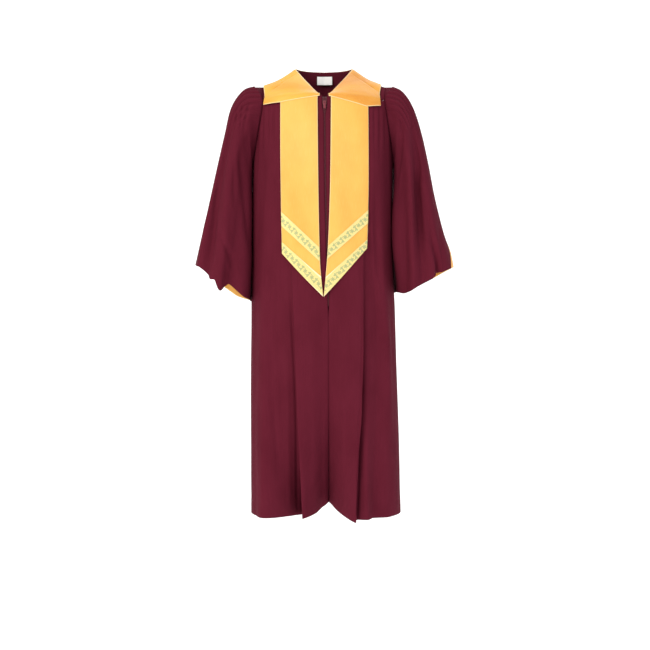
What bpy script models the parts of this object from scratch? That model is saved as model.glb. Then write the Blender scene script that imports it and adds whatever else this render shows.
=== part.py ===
# Choir robe in the shape it takes on a wearer's shoulders: yoke, two zipped fronts, back,
# bell sleeves with fluted heads, satin collar and pointed stole with brocade bands.
# Metres. +Z is up, the wearer faces -Y, and +X is the wearer's left. The origin is the middle of
# the neck, level with the shoulder line at its sides.
import math

import bpy
import numpy as np

# Cloth walls and the spaces kept between pieces
gown_wall = 0.0015
satin_wall = 0.0012
tape_wall = 0.0009
label_wall = 0.0010
seam_gap = 0.0006
layer_gap = 0.0004

# The gown on a general figure, level by level. Widths are from the middle to each side.
torso_levels = (
    dict(height=-0.080, right_width=0.189, left_width=0.187, front=0.090, back=0.088, square=2.2),
    dict(height=-0.180, right_width=0.190, left_width=0.188, front=0.115, back=0.109, square=2.3),
    dict(height=-0.280, right_width=0.194, left_width=0.188, front=0.129, back=0.119, square=2.4),
    dict(height=-0.450, right_width=0.198, left_width=0.188, front=0.135, back=0.118, square=2.4),
    dict(height=-0.600, right_width=0.199, left_width=0.191, front=0.138, back=0.124, square=2.4),
    dict(height=-0.660, right_width=0.199, left_width=0.194, front=0.139, back=0.127, square=2.4),
    dict(height=-0.900, right_width=0.200, left_width=0.201, front=0.143, back=0.138, square=2.5),
    dict(height=-1.215, right_width=0.199, left_width=0.210, front=0.148, back=0.152, square=2.5),
)
hem_height = -1.212
yoke_seam_centre = -0.0950
yoke_seam_corner = -0.100
yoke_corner_width = 0.163
armhole_bottom = -0.275
armhole_steps = 5

# Line where the two fronts meet, which drifts to the wearer's left as it falls
closure_line = (
    dict(height=-0.080, across=0.0015, half_gap=0.0068),
    dict(height=-0.122, across=0.0017, half_gap=0.0060),
    dict(height=-0.150, across=0.0019, half_gap=0.0020),
    dict(height=-0.300, across=0.0032, half_gap=0.0020),
    dict(height=-0.620, across=0.0110, half_gap=0.0018),
    dict(height=-0.700, across=0.0122, half_gap=0.0004),
    dict(height=-0.950, across=0.0130, half_gap=0.0004),
    dict(height=-1.215, across=0.0148, half_gap=0.0004),
)

# Folds of each panel from the middle outwards. A row is one line down the cloth: how far across it
# lies, and how far out of the figure's section it stands, at each of the fold levels.
fold_levels = (-0.08, -0.30, -0.60, -0.75, -0.90, -1.05, -1.215)
flat = (0.0,) * len(fold_levels)
at_side = (1.0,) * len(fold_levels)
right_front_folds = (
    dict(name="closing edge", steps=3, lift=0.030, across=None,
         out=(0.0, 0.0, -0.002, -0.010, -0.026, -0.060, -0.112)),
    dict(name="middle of flap", steps=4, lift=0.008,
         across=(0.045, 0.042, 0.033, 0.032, 0.030, 0.027, 0.023),
         out=(0.0, 0.0, 0.001, -0.001, -0.008, -0.026, -0.060)),
    dict(name="flap fold", steps=2, lift=0.0,
         across=(0.095, 0.088, 0.080, 0.0755, 0.0715, 0.064, 0.0575),
         out=(0.0, 0.0, 0.002, 0.004, 0.003, -0.006, -0.022)),
    dict(name="shadow behind flap", steps=4, lift=-0.004,
         across=(0.101, 0.096, 0.0880, 0.0825, 0.0765, 0.0735, 0.0710),
         out=(0.0, 0.0, -0.005, -0.011, -0.022, -0.048, -0.100)),
    dict(name="side hollow", steps=4, lift=0.0,
         across=(0.126, 0.120, 0.122, 0.120, 0.117, 0.113, 0.110),
         out=(0.0, 0.001, -0.003, -0.008, -0.015, -0.028, -0.048)),
    dict(name="side crest", steps=3, lift=0.0,
         across=(0.146, 0.150, 0.158, 0.160, 0.160, 0.160, 0.159),
         out=(0.0, 0.003, 0.004, 0.006, 0.008, 0.009, 0.010)),
    dict(name="armhole corner", steps=armhole_steps, lift=0.000,
         across=(0.162, 0.170, 0.181, 0.185, 0.186, 0.185, 0.184),
         out=flat),
    dict(name="side seam", steps=0, lift=-0.002, across=at_side,
         out=flat),
)
left_front_folds = (
    dict(name="closing edge", steps=3, lift=0.030, across=None,
         out=(0.0, 0.0, -0.002, -0.010, -0.026, -0.060, -0.112)),
    dict(name="middle of flap", steps=4, lift=0.009,
         across=(0.050, 0.052, 0.058, 0.056, 0.054, 0.051, 0.047),
         out=(0.0, 0.0, 0.002, 0.002, -0.003, -0.018, -0.050)),
    dict(name="flap fold", steps=2, lift=-0.007,
         across=(0.098, 0.100, 0.102, 0.1015, 0.0975, 0.0890, 0.0830),
         out=(0.0, 0.0, 0.003, 0.006, 0.008, 0.006, 0.000)),
    dict(name="shadow behind flap", steps=3, lift=-0.003,
         across=(0.108, 0.107, 0.1085, 0.1080, 0.1035, 0.0945, 0.0890),
         out=(0.0, 0.0, -0.008, -0.012, -0.014, -0.014, -0.018)),
    dict(name="second fold", steps=3, lift=0.0,
         across=(0.118, 0.118, 0.1215, 0.1200, 0.1160, 0.1130, 0.1120),
         out=(0.0, 0.001, -0.008, -0.010, -0.008, 0.000, 0.004)),
    dict(name="side hollow", steps=3, lift=0.0,
         across=(0.130, 0.129, 0.137, 0.142, 0.142, 0.140, 0.137),
         out=(0.0, 0.004, -0.007, -0.010, -0.010, -0.012, -0.014)),
    dict(name="side crest", steps=3, lift=0.0,
         across=(0.147, 0.148, 0.157, 0.168, 0.172, 0.172, 0.170),
         out=(0.0, 0.003, 0.005, 0.006, 0.005, 0.001, -0.002)),
    dict(name="armhole corner", steps=armhole_steps, lift=0.001,
         across=(0.162, 0.169, 0.178, 0.184, 0.188, 0.190, 0.190),
         out=(0.0, 0.0, 0.0, -0.001, 0.0, 0.001, 0.0)),
    dict(name="side seam", steps=0, lift=-0.001, across=at_side,
         out=flat),
)
back_folds = (
    dict(name="centre hollow", steps=4, lift=0.006,
         across=(0.0, 0.0, 0.0, 0.0, 0.0, 0.0, 0.0),
         out=(0.0, -0.002, -0.006, -0.010, -0.014, -0.019, -0.024)),
    dict(name="inner fold", steps=4, lift=-0.002,
         across=(0.038, 0.042, 0.046, 0.046, 0.046, 0.047, 0.048),
         out=(0.0, 0.003, 0.005, 0.006, 0.007, 0.008, 0.009)),
    dict(name="inner hollow", steps=3, lift=0.004,
         across=(0.072, 0.076, 0.082, 0.083, 0.083, 0.083, 0.083),
         out=(0.0, -0.002, -0.007, -0.011, -0.015, -0.019, -0.024)),
    dict(name="outer fold", steps=4, lift=-0.002,
         across=(0.102, 0.108, 0.116, 0.118, 0.119, 0.120, 0.121),
         out=(0.0, 0.003, 0.004, 0.005, 0.006, 0.008, 0.010)),
    dict(name="outer hollow", steps=3, lift=0.003,
         across=(0.128, 0.136, 0.147, 0.151, 0.153, 0.155, 0.156),
         out=(0.0, -0.001, -0.005, -0.008, -0.010, -0.012, -0.014)),
    dict(name="armhole corner", steps=armhole_steps, lift=0.0,
         across=(0.162, 0.170, 0.180, 0.185, 0.187, 0.188, 0.188),
         out=(0.0, 0.0, 0.0, 0.001, 0.002, 0.003, 0.003)),
    dict(name="side seam", steps=0, lift=-0.001, across=at_side,
         out=flat),
)
panel_rows = (0.0, 0.02, 0.045, 0.08, 0.13, 0.20, 0.30, 0.41, 0.52, 0.63, 0.74, 0.83, 0.92, 1.0)
# Each long panel is two solids that meet at this row, so that collision can follow its form
split_row = 6

# Small gathers that start at the yoke seam and fade out below it
front_gathers = dict(count=11.0, height=0.0024, start=0.130, inner_start=0.118, peak=0.035, fade=0.10)
back_gathers = dict(count=15.0, height=0.0030, start=0.012, inner_start=0.0, peak=0.035, fade=0.14)
gather_side_fade = 25.0

# Neckline from the middle of the front round to the middle of the back, for the left half
neckline = (
    dict(around=0.00, across=0.0125, depth=-0.0870, height=-0.0932),
    dict(around=0.20, across=0.0390, depth=-0.0580, height=-0.0587),
    dict(around=0.36, across=0.0620, depth=-0.0270, height=-0.0266),
    dict(around=0.50, across=0.0770, depth=0.0020, height=-0.0010),
    dict(around=0.62, across=0.0670, depth=0.0350, height=0.0050),
    dict(around=0.78, across=0.0420, depth=0.0590, height=0.0078),
    dict(around=1.00, across=0.0000, depth=0.0690, height=0.0085),
)
shoulder_edge = (
    dict(around=0.415, across=0.1637, depth=-0.0470, height=-0.0850),
    dict(around=0.43, across=0.1652, depth=-0.0360, height=-0.0700),
    dict(around=0.47, across=0.1665, depth=-0.0180, height=-0.0560),
    dict(around=0.50, across=0.1670, depth=0.0030, height=-0.0510),
    dict(around=0.54, across=0.1665, depth=0.0230, height=-0.0560),
    dict(around=0.59, across=0.1652, depth=0.0400, height=-0.0720),
    dict(around=0.61, across=0.1637, depth=0.0480, height=-0.0860),
)
yoke_front_around = 0.40
yoke_back_around = 0.63
yoke_rows = (0.0, 0.3, 0.65, 1.0)
# How far the yoke's cloth stands out over straight lines: in front from the middle to the
# corner, behind at the middle, and over the shoulders, where it dips
front_bulge = (0.0024, 0.0054, 0.0060)
back_bulge = 0.010
shoulder_dip = -0.011
spoke_step = 2

# The collar's lower edge in front, as places across and heights from its tip to its corner
collar_edges = dict(
    right=((0.0114, -0.0965), (0.1150, -0.1115), (0.1600, -0.1137)),
    left=((0.0125, -0.0970), (0.1120, -0.1235), (0.1475, -0.1178)),
)
collar_back_drop = 0.014
collar_lift = dict(middle=0.0018, front=0.0048, back=0.0040, start=0.112, full=0.135)
collar_reach = dict(
    right=dict(corner=0.1580, shoulder=0.1640),
    left=dict(corner=0.1475, shoulder=0.1553),
)
collar_spacing = 0.004
collar_gaps = (0.0017, 0.0011, 0.0026, 0.0038, 0.0028)
collar_corner_rise = 0.0012
shoulder_strip = 0.03
yoke_gap = 0.0014

# Stole on each front: its two long edges, the point and the outer corner of its slanted end
stole_levels = (
    dict(height=-0.10, right_inner=0.0169, right_outer=0.1153, left_inner=0.0185, left_outer=0.1169),
    dict(height=-0.30, right_inner=0.0150, right_outer=0.1130, left_inner=0.0165, left_outer=0.1165),
    dict(height=-0.45, right_inner=0.0125, right_outer=0.1105, left_inner=0.0125, left_outer=0.1140),
    dict(height=-0.54, right_inner=0.0100, right_outer=0.1085, left_inner=0.0075, left_outer=0.1100),
    dict(height=-0.632, right_inner=0.0017, right_outer=0.1070, left_inner=-0.0007, left_outer=0.1080),
)
stole_ends = dict(
    right=dict(point=-0.6300, corner=-0.5170),
    left=dict(point=-0.6300, corner=-0.5030),
)
stole_rise = 0.0038
stole_gap = 0.0012
stole_columns = 7
stole_rows = 13
band_inset = 0.0006
# Brocade bands: heights of the upper and lower edge at the inner and outer side of the stole
bands = (
    dict(side="right", name="upper", inner_top=-0.5020, inner_low=-0.5390,
         outer_top=-0.4070, outer_low=-0.4450),
    dict(side="right", name="lower", inner_top=-0.5770, inner_low=-0.6300,
         outer_top=-0.4860, outer_low=-0.5170),
    dict(side="left", name="upper", inner_top=-0.4980, inner_low=-0.5330,
         outer_top=-0.4020, outer_low=-0.4370),
    dict(side="left", name="lower", inner_top=-0.5790, inner_low=-0.6300,
         outer_top=-0.4790, outer_low=-0.5030),
)

# Sleeve stations from the armhole to the hem. The outer point follows the top of the arm, the
# inner one the side of the gown, and depth is half the sleeve from front to back.
right_sleeve_stations = (
    dict(along=0.00, outer=(0.1670, -0.0510), inner=(0.1870, -0.2750), depth=0.070, forward=0.002),
    dict(along=0.05, outer=(0.1880, -0.0540), inner=(0.1930, -0.2850), depth=0.072, forward=0.002),
    dict(along=0.11, outer=(0.2120, -0.0600), inner=(0.1945, -0.3000), depth=0.075, forward=0.001),
    dict(along=0.17, outer=(0.2350, -0.0800), inner=(0.1950, -0.3200), depth=0.079, forward=0.000),
    dict(along=0.25, outer=(0.2550, -0.1150), inner=(0.1950, -0.3450), depth=0.084, forward=-0.002),
    dict(along=0.36, outer=(0.2715, -0.1800), inner=(0.1950, -0.3850), depth=0.089, forward=-0.004),
    dict(along=0.50, outer=(0.2905, -0.2650), inner=(0.1950, -0.4400), depth=0.095, forward=-0.007),
    dict(along=0.66, outer=(0.3120, -0.3620), inner=(0.1950, -0.5000), depth=0.101, forward=-0.010),
    dict(along=0.82, outer=(0.3325, -0.4550), inner=(0.1980, -0.5650), depth=0.106, forward=-0.012),
    dict(along=0.92, outer=(0.3440, -0.5080), inner=(0.2000, -0.6080), depth=0.108, forward=-0.013),
    dict(along=1.00, outer=(0.3510, -0.5400), inner=(0.2010, -0.6400), depth=0.108, forward=-0.013),
)
left_sleeve_stations = (
    dict(along=0.00, outer=(0.1670, -0.0510), inner=(0.1840, -0.2750), depth=0.070, forward=0.002),
    dict(along=0.05, outer=(0.1830, -0.0550), inner=(0.1900, -0.2850), depth=0.072, forward=0.002),
    dict(along=0.11, outer=(0.2080, -0.0660), inner=(0.1910, -0.3000), depth=0.075, forward=0.001),
    dict(along=0.17, outer=(0.2270, -0.0860), inner=(0.1915, -0.3200), depth=0.079, forward=0.000),
    dict(along=0.25, outer=(0.2465, -0.1230), inner=(0.1915, -0.3450), depth=0.084, forward=-0.002),
    dict(along=0.36, outer=(0.2650, -0.1850), inner=(0.1915, -0.3850), depth=0.089, forward=-0.004),
    dict(along=0.50, outer=(0.2830, -0.2700), inner=(0.1915, -0.4400), depth=0.095, forward=-0.007),
    dict(along=0.66, outer=(0.3015, -0.3640), inner=(0.1915, -0.5000), depth=0.101, forward=-0.010),
    dict(along=0.82, outer=(0.3240, -0.4580), inner=(0.1935, -0.5600), depth=0.106, forward=-0.012),
    dict(along=0.92, outer=(0.3425, -0.5120), inner=(0.1960, -0.6020), depth=0.108, forward=-0.013),
    dict(along=1.00, outer=(0.3490, -0.5480), inner=(0.1970, -0.6330), depth=0.108, forward=-0.013),
)
# Sleeve folds round the sleeve, in degrees from the outer edge through the front, at the armhole,
# upper arm, elbow and hem. Out is how far a line stands off the sleeve's round section there.
sleeve_fold_stations = (0.0, 0.20, 0.55, 1.0)
right_sleeve_folds = (
    dict(around=(0, 0, 0, 0), steps=2, drop=0.000, out=(0.0, 0.0, 0.000, 0.000)),
    dict(around=(22, 22, 24, 26), steps=2, drop=0.000, out=(0.0, -0.002, -0.003, -0.004)),
    dict(around=(42, 40, 38, 46), steps=2, drop=-0.004, out=(0.0, 0.003, 0.006, 0.006)),
    dict(around=(58, 56, 55, 65), steps=2, drop=0.001, out=(0.0, -0.003, -0.009, -0.010)),
    dict(around=(68, 66, 66, 73), steps=2, drop=0.009, out=(0.0, 0.000, -0.002, -0.003)),
    dict(around=(79, 77, 76, 83), steps=2, drop=0.003, out=(0.0, 0.002, 0.002, 0.002)),
    dict(around=(91, 88, 86, 91), steps=2, drop=0.022, out=(0.0, 0.002, 0.004, 0.008)),
    dict(around=(104, 101, 99, 101), steps=2, drop=0.002, out=(0.0, -0.003, 0.000, -0.006)),
    dict(around=(117, 115, 112, 113), steps=3, drop=-0.011, out=(0.0, -0.005, -0.005, -0.012)),
    dict(around=(142, 142, 142, 142), steps=4, drop=-0.001, out=(0.0, 0.003, 0.003, 0.004)),
    dict(around=(180, 180, 180, 180), steps=3, drop=-0.003, out=(0.0, 0.0, 0.000, 0.000)),
    dict(around=(214, 214, 214, 214), steps=3, drop=0.004, out=(0.0, 0.003, 0.002, 0.004)),
    dict(around=(236, 236, 236, 236), steps=2, drop=0.012, out=(0.0, -0.002, -0.004, -0.006)),
    dict(around=(250, 250, 250, 250), steps=3, drop=0.014, out=(0.0, -0.003, -0.006, -0.006)),
    dict(around=(274, 274, 274, 274), steps=3, drop=0.012, out=(0.0, 0.003, 0.005, 0.006)),
    dict(around=(300, 300, 300, 300), steps=3, drop=0.004, out=(0.0, -0.004, -0.008, -0.014)),
    dict(around=(328, 328, 328, 328), steps=3, drop=0.001, out=(0.0, 0.003, 0.004, 0.008)),
    dict(around=(360, 360, 360, 360), steps=0, drop=0.000, out=(0.0, 0.0, 0.000, 0.000)),
)
left_sleeve_folds = (
    dict(around=(0, 0, 0, 0), steps=2, drop=0.000, out=(0.0, 0.0, 0.002, 0.003)),
    dict(around=(20, 16, 22, 28), steps=2, drop=0.000, out=(0.0, 0.002, 0.004, 0.004)),
    dict(around=(34, 30, 38, 48), steps=2, drop=-0.002, out=(0.0, 0.001, 0.004, 0.006)),
    dict(around=(44, 38, 50, 62), steps=2, drop=-0.004, out=(0.0, -0.002, 0.000, 0.005)),
    dict(around=(53, 46, 58, 70), steps=2, drop=-0.010, out=(0.0, -0.003, -0.004, -0.014)),
    dict(around=(63, 54, 67, 80), steps=2, drop=-0.003, out=(0.0, -0.003, -0.012, 0.002)),
    dict(around=(77, 64, 80, 101), steps=3, drop=-0.003, out=(0.0, -0.005, -0.022, -0.012)),
    dict(around=(97, 90, 99, 118), steps=3, drop=-0.001, out=(0.0, 0.004, 0.006, 0.006)),
    dict(around=(117, 115, 119, 136), steps=3, drop=-0.002, out=(0.0, -0.003, -0.003, -0.002)),
    dict(around=(142, 144, 143, 157), steps=3, drop=-0.014, out=(0.0, 0.003, 0.003, 0.002)),
    dict(around=(180, 180, 180, 180), steps=4, drop=-0.020, out=(0.0, 0.0, 0.000, 0.000)),
    dict(around=(216, 216, 216, 216), steps=3, drop=-0.014, out=(0.0, 0.003, 0.002, 0.004)),
    dict(around=(244, 244, 244, 244), steps=3, drop=-0.004, out=(0.0, -0.004, -0.007, -0.012)),
    dict(around=(270, 270, 270, 270), steps=3, drop=0.001, out=(0.0, 0.003, 0.005, 0.008)),
    dict(around=(298, 298, 298, 298), steps=3, drop=0.002, out=(0.0, -0.004, -0.006, -0.008)),
    dict(around=(328, 328, 328, 328), steps=3, drop=0.001, out=(0.0, 0.002, 0.003, 0.002)),
    dict(around=(360, 360, 360, 360), steps=0, drop=0.000, out=(0.0, 0.0, 0.002, 0.003)),
)
# Where a sleeve's cloth is pushed in towards the gown, in front of its side or behind it: the
# amount at each of the fold stations
sleeve_tucks = dict(
    right=(dict(around=150.0, reach=32.0, across=(0.0, 0.002, 0.006, 0.004)),
           dict(around=220.0, reach=36.0, across=(0.0, 0.002, 0.012, 0.012))),
    left=(dict(around=150.0, reach=32.0, across=(0.0, 0.004, 0.013, 0.002)),
          dict(around=218.0, reach=36.0, across=(0.0, 0.002, 0.012, 0.010))),
)
sleeve_roundness = 2 / 2.2
hem_drop_start = 0.55
# Sleeve angles that meet the armhole seam: over the shoulder, at the yoke's corner, underarm
shoulder_angles = [0.0, 16.0, 31.0, 44.0]
corner_angle = 56.0
underarm_angle = 180.0
armhole_gap = 0.0007
sleeve_rows = (0.0, 0.03, 0.06, 0.10, 0.15, 0.22, 0.32, 0.43, 0.54, 0.64, 0.72, 0.80, 0.87, 0.94, 1.0)
flutes = dict(count=17, height=0.0046, spread=82.0, ease=16.0, peak=0.04, fade=0.13)
flute_rows = 5
flute_steps = 3
head_blend = 0.10
plain_step = 14.0
# Gold gore let into each sleeve, widening to the hem
gore_top = 0.64
gores = dict(
    right=dict(middle=250.0, half_width=36.0, reach=70.0),
    left=dict(middle=352.0, half_width=44.0, reach=88.0),
)
sleeve_stations = dict(right=right_sleeve_stations, left=left_sleeve_stations)
sleeve_folds = dict(right=right_sleeve_folds, left=left_sleeve_folds)
gore_rows = 7
gore_point = 0.02
gore_gap = 0.0010
gore_columns = 7
sleeve_clearance = 0.0035

# Zip: tape behind the closing edges, slider near its top, and a pull tab that hangs in the
# slider's bail. Sizes along the slider are from the pull's axis.
zip_top = -0.0985
zip_bottom = -0.655
zip_half_width = 0.0125
zip_columns = (-1.0, -0.4, 0.4, 1.0)
pull_axis_height = -0.1150
slider_size = dict(width=0.0088, above=0.0042, below=0.0068, thickness=0.0034, edge=0.0007)
axis_rise = 0.0010
bail = dict(radius=0.0028, wire=0.0006, flatness=0.9)
pull = dict(width=0.0058, length=0.0200, thickness=0.0010, edge=0.0003, bar=0.0005,
            window=0.0036, window_width=0.0030)

label = dict(right=-0.0193, left=0.0231, top=0.112, drop=0.024, columns=7)

gown_colour = (0.115, 0.012, 0.026, 1.0)
satin_colour = (0.90, 0.46, 0.09, 1.0)
brocade_colour = (0.78, 0.70, 0.36, 1.0)
metal_colour = (0.30, 0.07, 0.07, 1.0)
tape_colour = (0.09, 0.010, 0.022, 1.0)
label_colour = (0.86, 0.86, 0.84, 1.0)


def smooth_curve(stops, values, at):
    """Values at the given places on a smooth curve that never swings past its stops."""
    stops = np.asarray(stops, float)
    values = np.asarray(values, float)
    at = np.clip(np.asarray(at, float), stops[0], stops[-1])
    steps = np.diff(stops)
    slopes = np.diff(values) / steps
    tangents = np.empty_like(values)
    tangents[0], tangents[-1] = slopes[0], slopes[-1]
    for i in range(1, len(stops) - 1):
        before, after = slopes[i - 1], slopes[i]
        if before * after <= 0:
            tangents[i] = 0.0
        else:
            near = 2 * steps[i] + steps[i - 1]
            far = steps[i] + 2 * steps[i - 1]
            tangents[i] = (near + far) / (near / before + far / after)
    place = np.clip(np.searchsorted(stops, at, side="right") - 1, 0, len(stops) - 2)
    t = (at - stops[place]) / steps[place]
    start, end = values[place], values[place + 1]
    leave, arrive = tangents[place] * steps[place], tangents[place + 1] * steps[place]
    return (
        (2 * t**3 - 3 * t**2 + 1) * start
        + (t**3 - 2 * t**2 + t) * leave
        + (3 * t**2 - 2 * t**3) * end
        + (t**3 - t**2) * arrive
    )


def from_rows(rows, key, at, by="height"):
    """One column of a table, read at a place between its rows."""
    ordered = sorted(rows, key=lambda row: row[by])
    return float(smooth_curve([row[by] for row in ordered], [row[key] for row in ordered], at))


def swell(distance, peak, fade):
    """Rises from nothing at a seam to one at the peak, then dies away over the fade."""
    if distance <= peak:
        return math.sin(0.5 * math.pi * max(distance, 0.0) / peak)
    return math.exp(-(((distance - peak) / fade) ** 2))


def make_material(name, colour, roughness, metallic=0.0):
    material = bpy.data.materials.new(name)
    material.use_nodes = True
    shader = material.node_tree.nodes["Principled BSDF"]
    shader.inputs["Base Color"].default_value = colour
    shader.inputs["Roughness"].default_value = roughness
    shader.inputs["Metallic"].default_value = metallic
    material.diffuse_color = colour
    return material


def add_mesh(name, points, faces, material):
    mesh = bpy.data.meshes.new(name)
    mesh.from_pydata([tuple(float(c) for c in point) for point in points], [], faces)
    mesh.materials.append(material)
    mesh.shade_smooth()
    mesh.update()
    made = bpy.data.objects.new(name, mesh)
    bpy.data.collections["choir_robe"].objects.link(made)
    return made


def give_wall(piece, thickness):
    """A sheet's drawn face becomes the outside, and the wall goes inwards from it."""
    wall = piece.modifiers.new("cloth wall", "SOLIDIFY")
    wall.thickness = thickness
    wall.offset = -1.0
    wall.use_rim = True
    return piece


def grid_sheet(name, grid, material, thickness, flip=False):
    """A cloth sheet through a grid of points, rows by columns."""
    rows, columns = len(grid), len(grid[0])
    points = [point for row in grid for point in row]
    faces = []
    for r in range(rows - 1):
        for c in range(columns - 1):
            a = r * columns + c
            face = (a, a + columns, a + columns + 1, a + 1)
            faces.append(tuple(reversed(face)) if flip else face)
    return give_wall(add_mesh(name, points, faces, material), thickness)


def torso_at(height, sign):
    """Half width on one side, front and back depth, and squareness of the section at a height."""
    side = "left_width" if sign > 0 else "right_width"
    return [from_rows(torso_levels, key, height) for key in (side, "front", "back", "square")]


def section_point(angle, height, sign, out=0.0):
    """A point of the gown's section. The angle runs from the front middle, 0, to the back, 180."""
    width, front, back, square = torso_at(height, sign)
    depth = front if angle <= 90.0 else back
    turn = math.radians(angle)
    sine, cosine = math.sin(turn), math.cos(turn)
    x = width * abs(sine) ** (2 / square)
    y = -math.copysign(depth * abs(cosine) ** (2 / square), cosine)
    slope_x = abs(x / width) ** (square - 1) / width
    slope_y = math.copysign(abs(y / depth) ** (square - 1) / depth, y)
    length = math.hypot(slope_x, slope_y)
    return np.array([sign * (x + out * slope_x / length), y + out * slope_y / length, height])


def angle_at(across, height, sign):
    """The angle whose section point lies this far across, 90 degrees or less."""
    width, _, _, square = torso_at(height, sign)
    share = min(max(across / width, 0.0), 1.0)
    return math.degrees(math.asin(share ** (square / 2)))


def closure_at(height):
    return from_rows(closure_line, "across", height), from_rows(closure_line, "half_gap", height)


def fold_across(fold, height, sign):
    if fold["across"] is None:
        middle, half_gap = closure_at(height)
        return sign * middle + half_gap
    across = smooth_curve(fold_levels[::-1], fold["across"][::-1], height)
    return float(across)


def column_places(folds):
    """Places of the columns along the row of folds, counted in folds."""
    places = []
    for i, fold in enumerate(folds[:-1]):
        places += [i + step / fold["steps"] for step in range(fold["steps"])]
    return places + [len(folds) - 1.0]


def seam_height(across):
    share = min(abs(across) / yoke_corner_width, 1.0)
    return yoke_seam_centre + share * (yoke_seam_corner - yoke_seam_centre)


def panel_point(folds, place, height, sign, is_back, gathers, below_seam):
    """A point of a front or the back: the section at its fold line, moved out by the folds."""
    indices = range(len(folds))
    angles, outs = [], []
    for fold in folds:
        across = fold_across(fold, height, sign)
        if across < 0:
            angle = -angle_at(-across, height, -sign)
        else:
            angle = angle_at(across, height, sign)
        angles.append(angle)
        outs.append(float(smooth_curve(fold_levels[::-1], fold["out"][::-1], height)))
    angle = float(smooth_curve(indices, angles, place))
    out = float(smooth_curve(indices, outs, place))
    half = sign
    if angle < 0:
        angle, half = -angle, -sign
    across = abs(section_point(angle, height, half)[0])
    ripple = gather_ripple(gathers, across, below_seam, angle)
    if is_back:
        angle = 180.0 - angle
    return section_point(angle, height, half, out + ripple)


def gather_ripple(gathers, across, below_seam, angle):
    """Small gathers below the yoke seam, none under the stole and none at the side seam."""
    if across <= gathers["inner_start"]:
        return 0.0
    ease = min((across - gathers["inner_start"]) / (gathers["start"] - gathers["inner_start"]), 1.0)
    side_ease = min(max((90.0 - angle) / gather_side_fade, 0.0), 1.0)
    wave = 0.5 - 0.5 * math.cos(2 * math.pi * gathers["count"] * across / yoke_corner_width)
    fall = swell(below_seam, gathers["peak"], gathers["fade"])
    return gathers["height"] * ease * side_ease * wave * fall


def corner_place(folds):
    """The place, counted in folds, of the line below the top of the armhole."""
    return float(next(i for i, fold in enumerate(folds) if fold["name"] == "armhole corner"))


def panel_grid(folds, sign, is_back, gathers):
    """Rows of points from the yoke seam or armhole down to the hem, columns from middle to side."""
    indices = range(len(folds))
    corner = corner_place(folds)
    columns = []
    for place in column_places(folds):
        if place <= corner:
            top_across = [fold_across(fold, yoke_seam_corner, sign) for fold in folds]
            top = seam_height(float(smooth_curve(indices, top_across, place)))
        else:
            swing = 0.5 * math.pi * (place - corner)
            top = yoke_seam_corner + (armhole_bottom - yoke_seam_corner) * math.sin(swing)
        hem = hem_height + float(smooth_curve(indices, [fold["lift"] for fold in folds], place))
        heights = [top + (hem - top) * share for share in panel_rows]
        columns.append([panel_point(folds, place, height, sign, is_back, gathers, top - height)
                        for height in heights])
    for point in columns[-1]:
        point[1] += seam_gap / 2 if is_back else -seam_gap / 2
    return [[column[r] for column in columns] for r in range(len(panel_rows))]


def build_panel(name, grid, material, flip=False):
    """One panel of the gown, as an upper and a lower solid with a hair's gap between them."""
    gap = np.array([0.0, 0.0, seam_gap / 2])
    upper, lower = list(grid[:split_row + 1]), list(grid[split_row:])
    upper[-1] = [point + gap for point in upper[-1]]
    lower[0] = [point - gap for point in lower[0]]
    grid_sheet(name + "_upper", upper, material, gown_wall, flip)
    grid_sheet(name + "_lower", lower, material, gown_wall, flip)


def neck_point(around, sign):
    return np.array([sign * from_rows(neckline, "across", around, "around"),
                     from_rows(neckline, "depth", around, "around"),
                     from_rows(neckline, "height", around, "around")])


def half_spokes(front_top, back_top, sign):
    """Neck point, outer point and bulge of each line across half the yoke, from the front round."""
    spokes = []
    up = np.array([0.0, 0.0, yoke_gap])
    last = len(front_top) - 1
    for i in range(0, last + 1, spoke_step):
        share = i / last
        bulge = np.array([0.0, -1.0, 1.0]) * float(smooth_curve((0.0, 0.5, 1.0), front_bulge, share))
        spokes.append((neck_point(yoke_front_around * share, sign), front_top[i] + up, bulge))
    for row in shoulder_edge:
        outer = np.array([sign * row["across"], row["depth"], row["height"]])
        spokes.append((neck_point(row["around"], sign), outer, np.array([0.0, 0.0, shoulder_dip])))
    last = len(back_top) - 1
    for i in range(last, -1, -spoke_step):
        share = 1.0 - i / last
        bulge = np.array([0.0, 1.0, 0.4]) * back_bulge * share
        around = yoke_back_around + (1 - yoke_back_around) * share
        spokes.append((neck_point(around, sign), back_top[i] + up, bulge))
    return spokes


def spoke_point(spoke, share):
    neck, outer, bulge = spoke
    control = (neck + outer) / 2 + bulge
    return (1 - share) ** 2 * neck + 2 * share * (1 - share) * control + share**2 * outer


def moved_out(grid, distances):
    """The same grid of points, each row moved along the surface's normals by its own distance."""
    points = np.array(grid, float)
    last_row, last_column = points.shape[0] - 1, points.shape[1] - 1
    moved = points.copy()
    for r in range(last_row + 1):
        for c in range(last_column + 1):
            along = points[r, min(c + 1, last_column)] - points[r, max(c - 1, 0)]
            down = points[min(r + 1, last_row), c] - points[max(r - 1, 0), c]
            normal = np.cross(along, down)
            moved[r, c] += normal / np.linalg.norm(normal) * distances[r]
    return moved


def build_yoke(spokes, material):
    """The yoke round the neck: fronts, back and sleeves hang from its outer edge."""
    grid = [[spoke_point(spoke, share) for spoke in spokes] for share in yoke_rows]
    grid_sheet("yoke", grid, material, gown_wall, flip=True)
    return grid


def depth_on(panel, across, height):
    """The depth of a panel at a place, read in straight lines between its points."""
    line = []
    for column in zip(*panel):
        points = np.array(column)[::-1]
        line.append([np.interp(height, points[:, 2], points[:, i]) for i in (0, 1)])
    line = np.array(sorted(line, key=lambda point: point[0]))
    return float(np.interp(across, line[:, 0], line[:, 1]))


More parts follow.
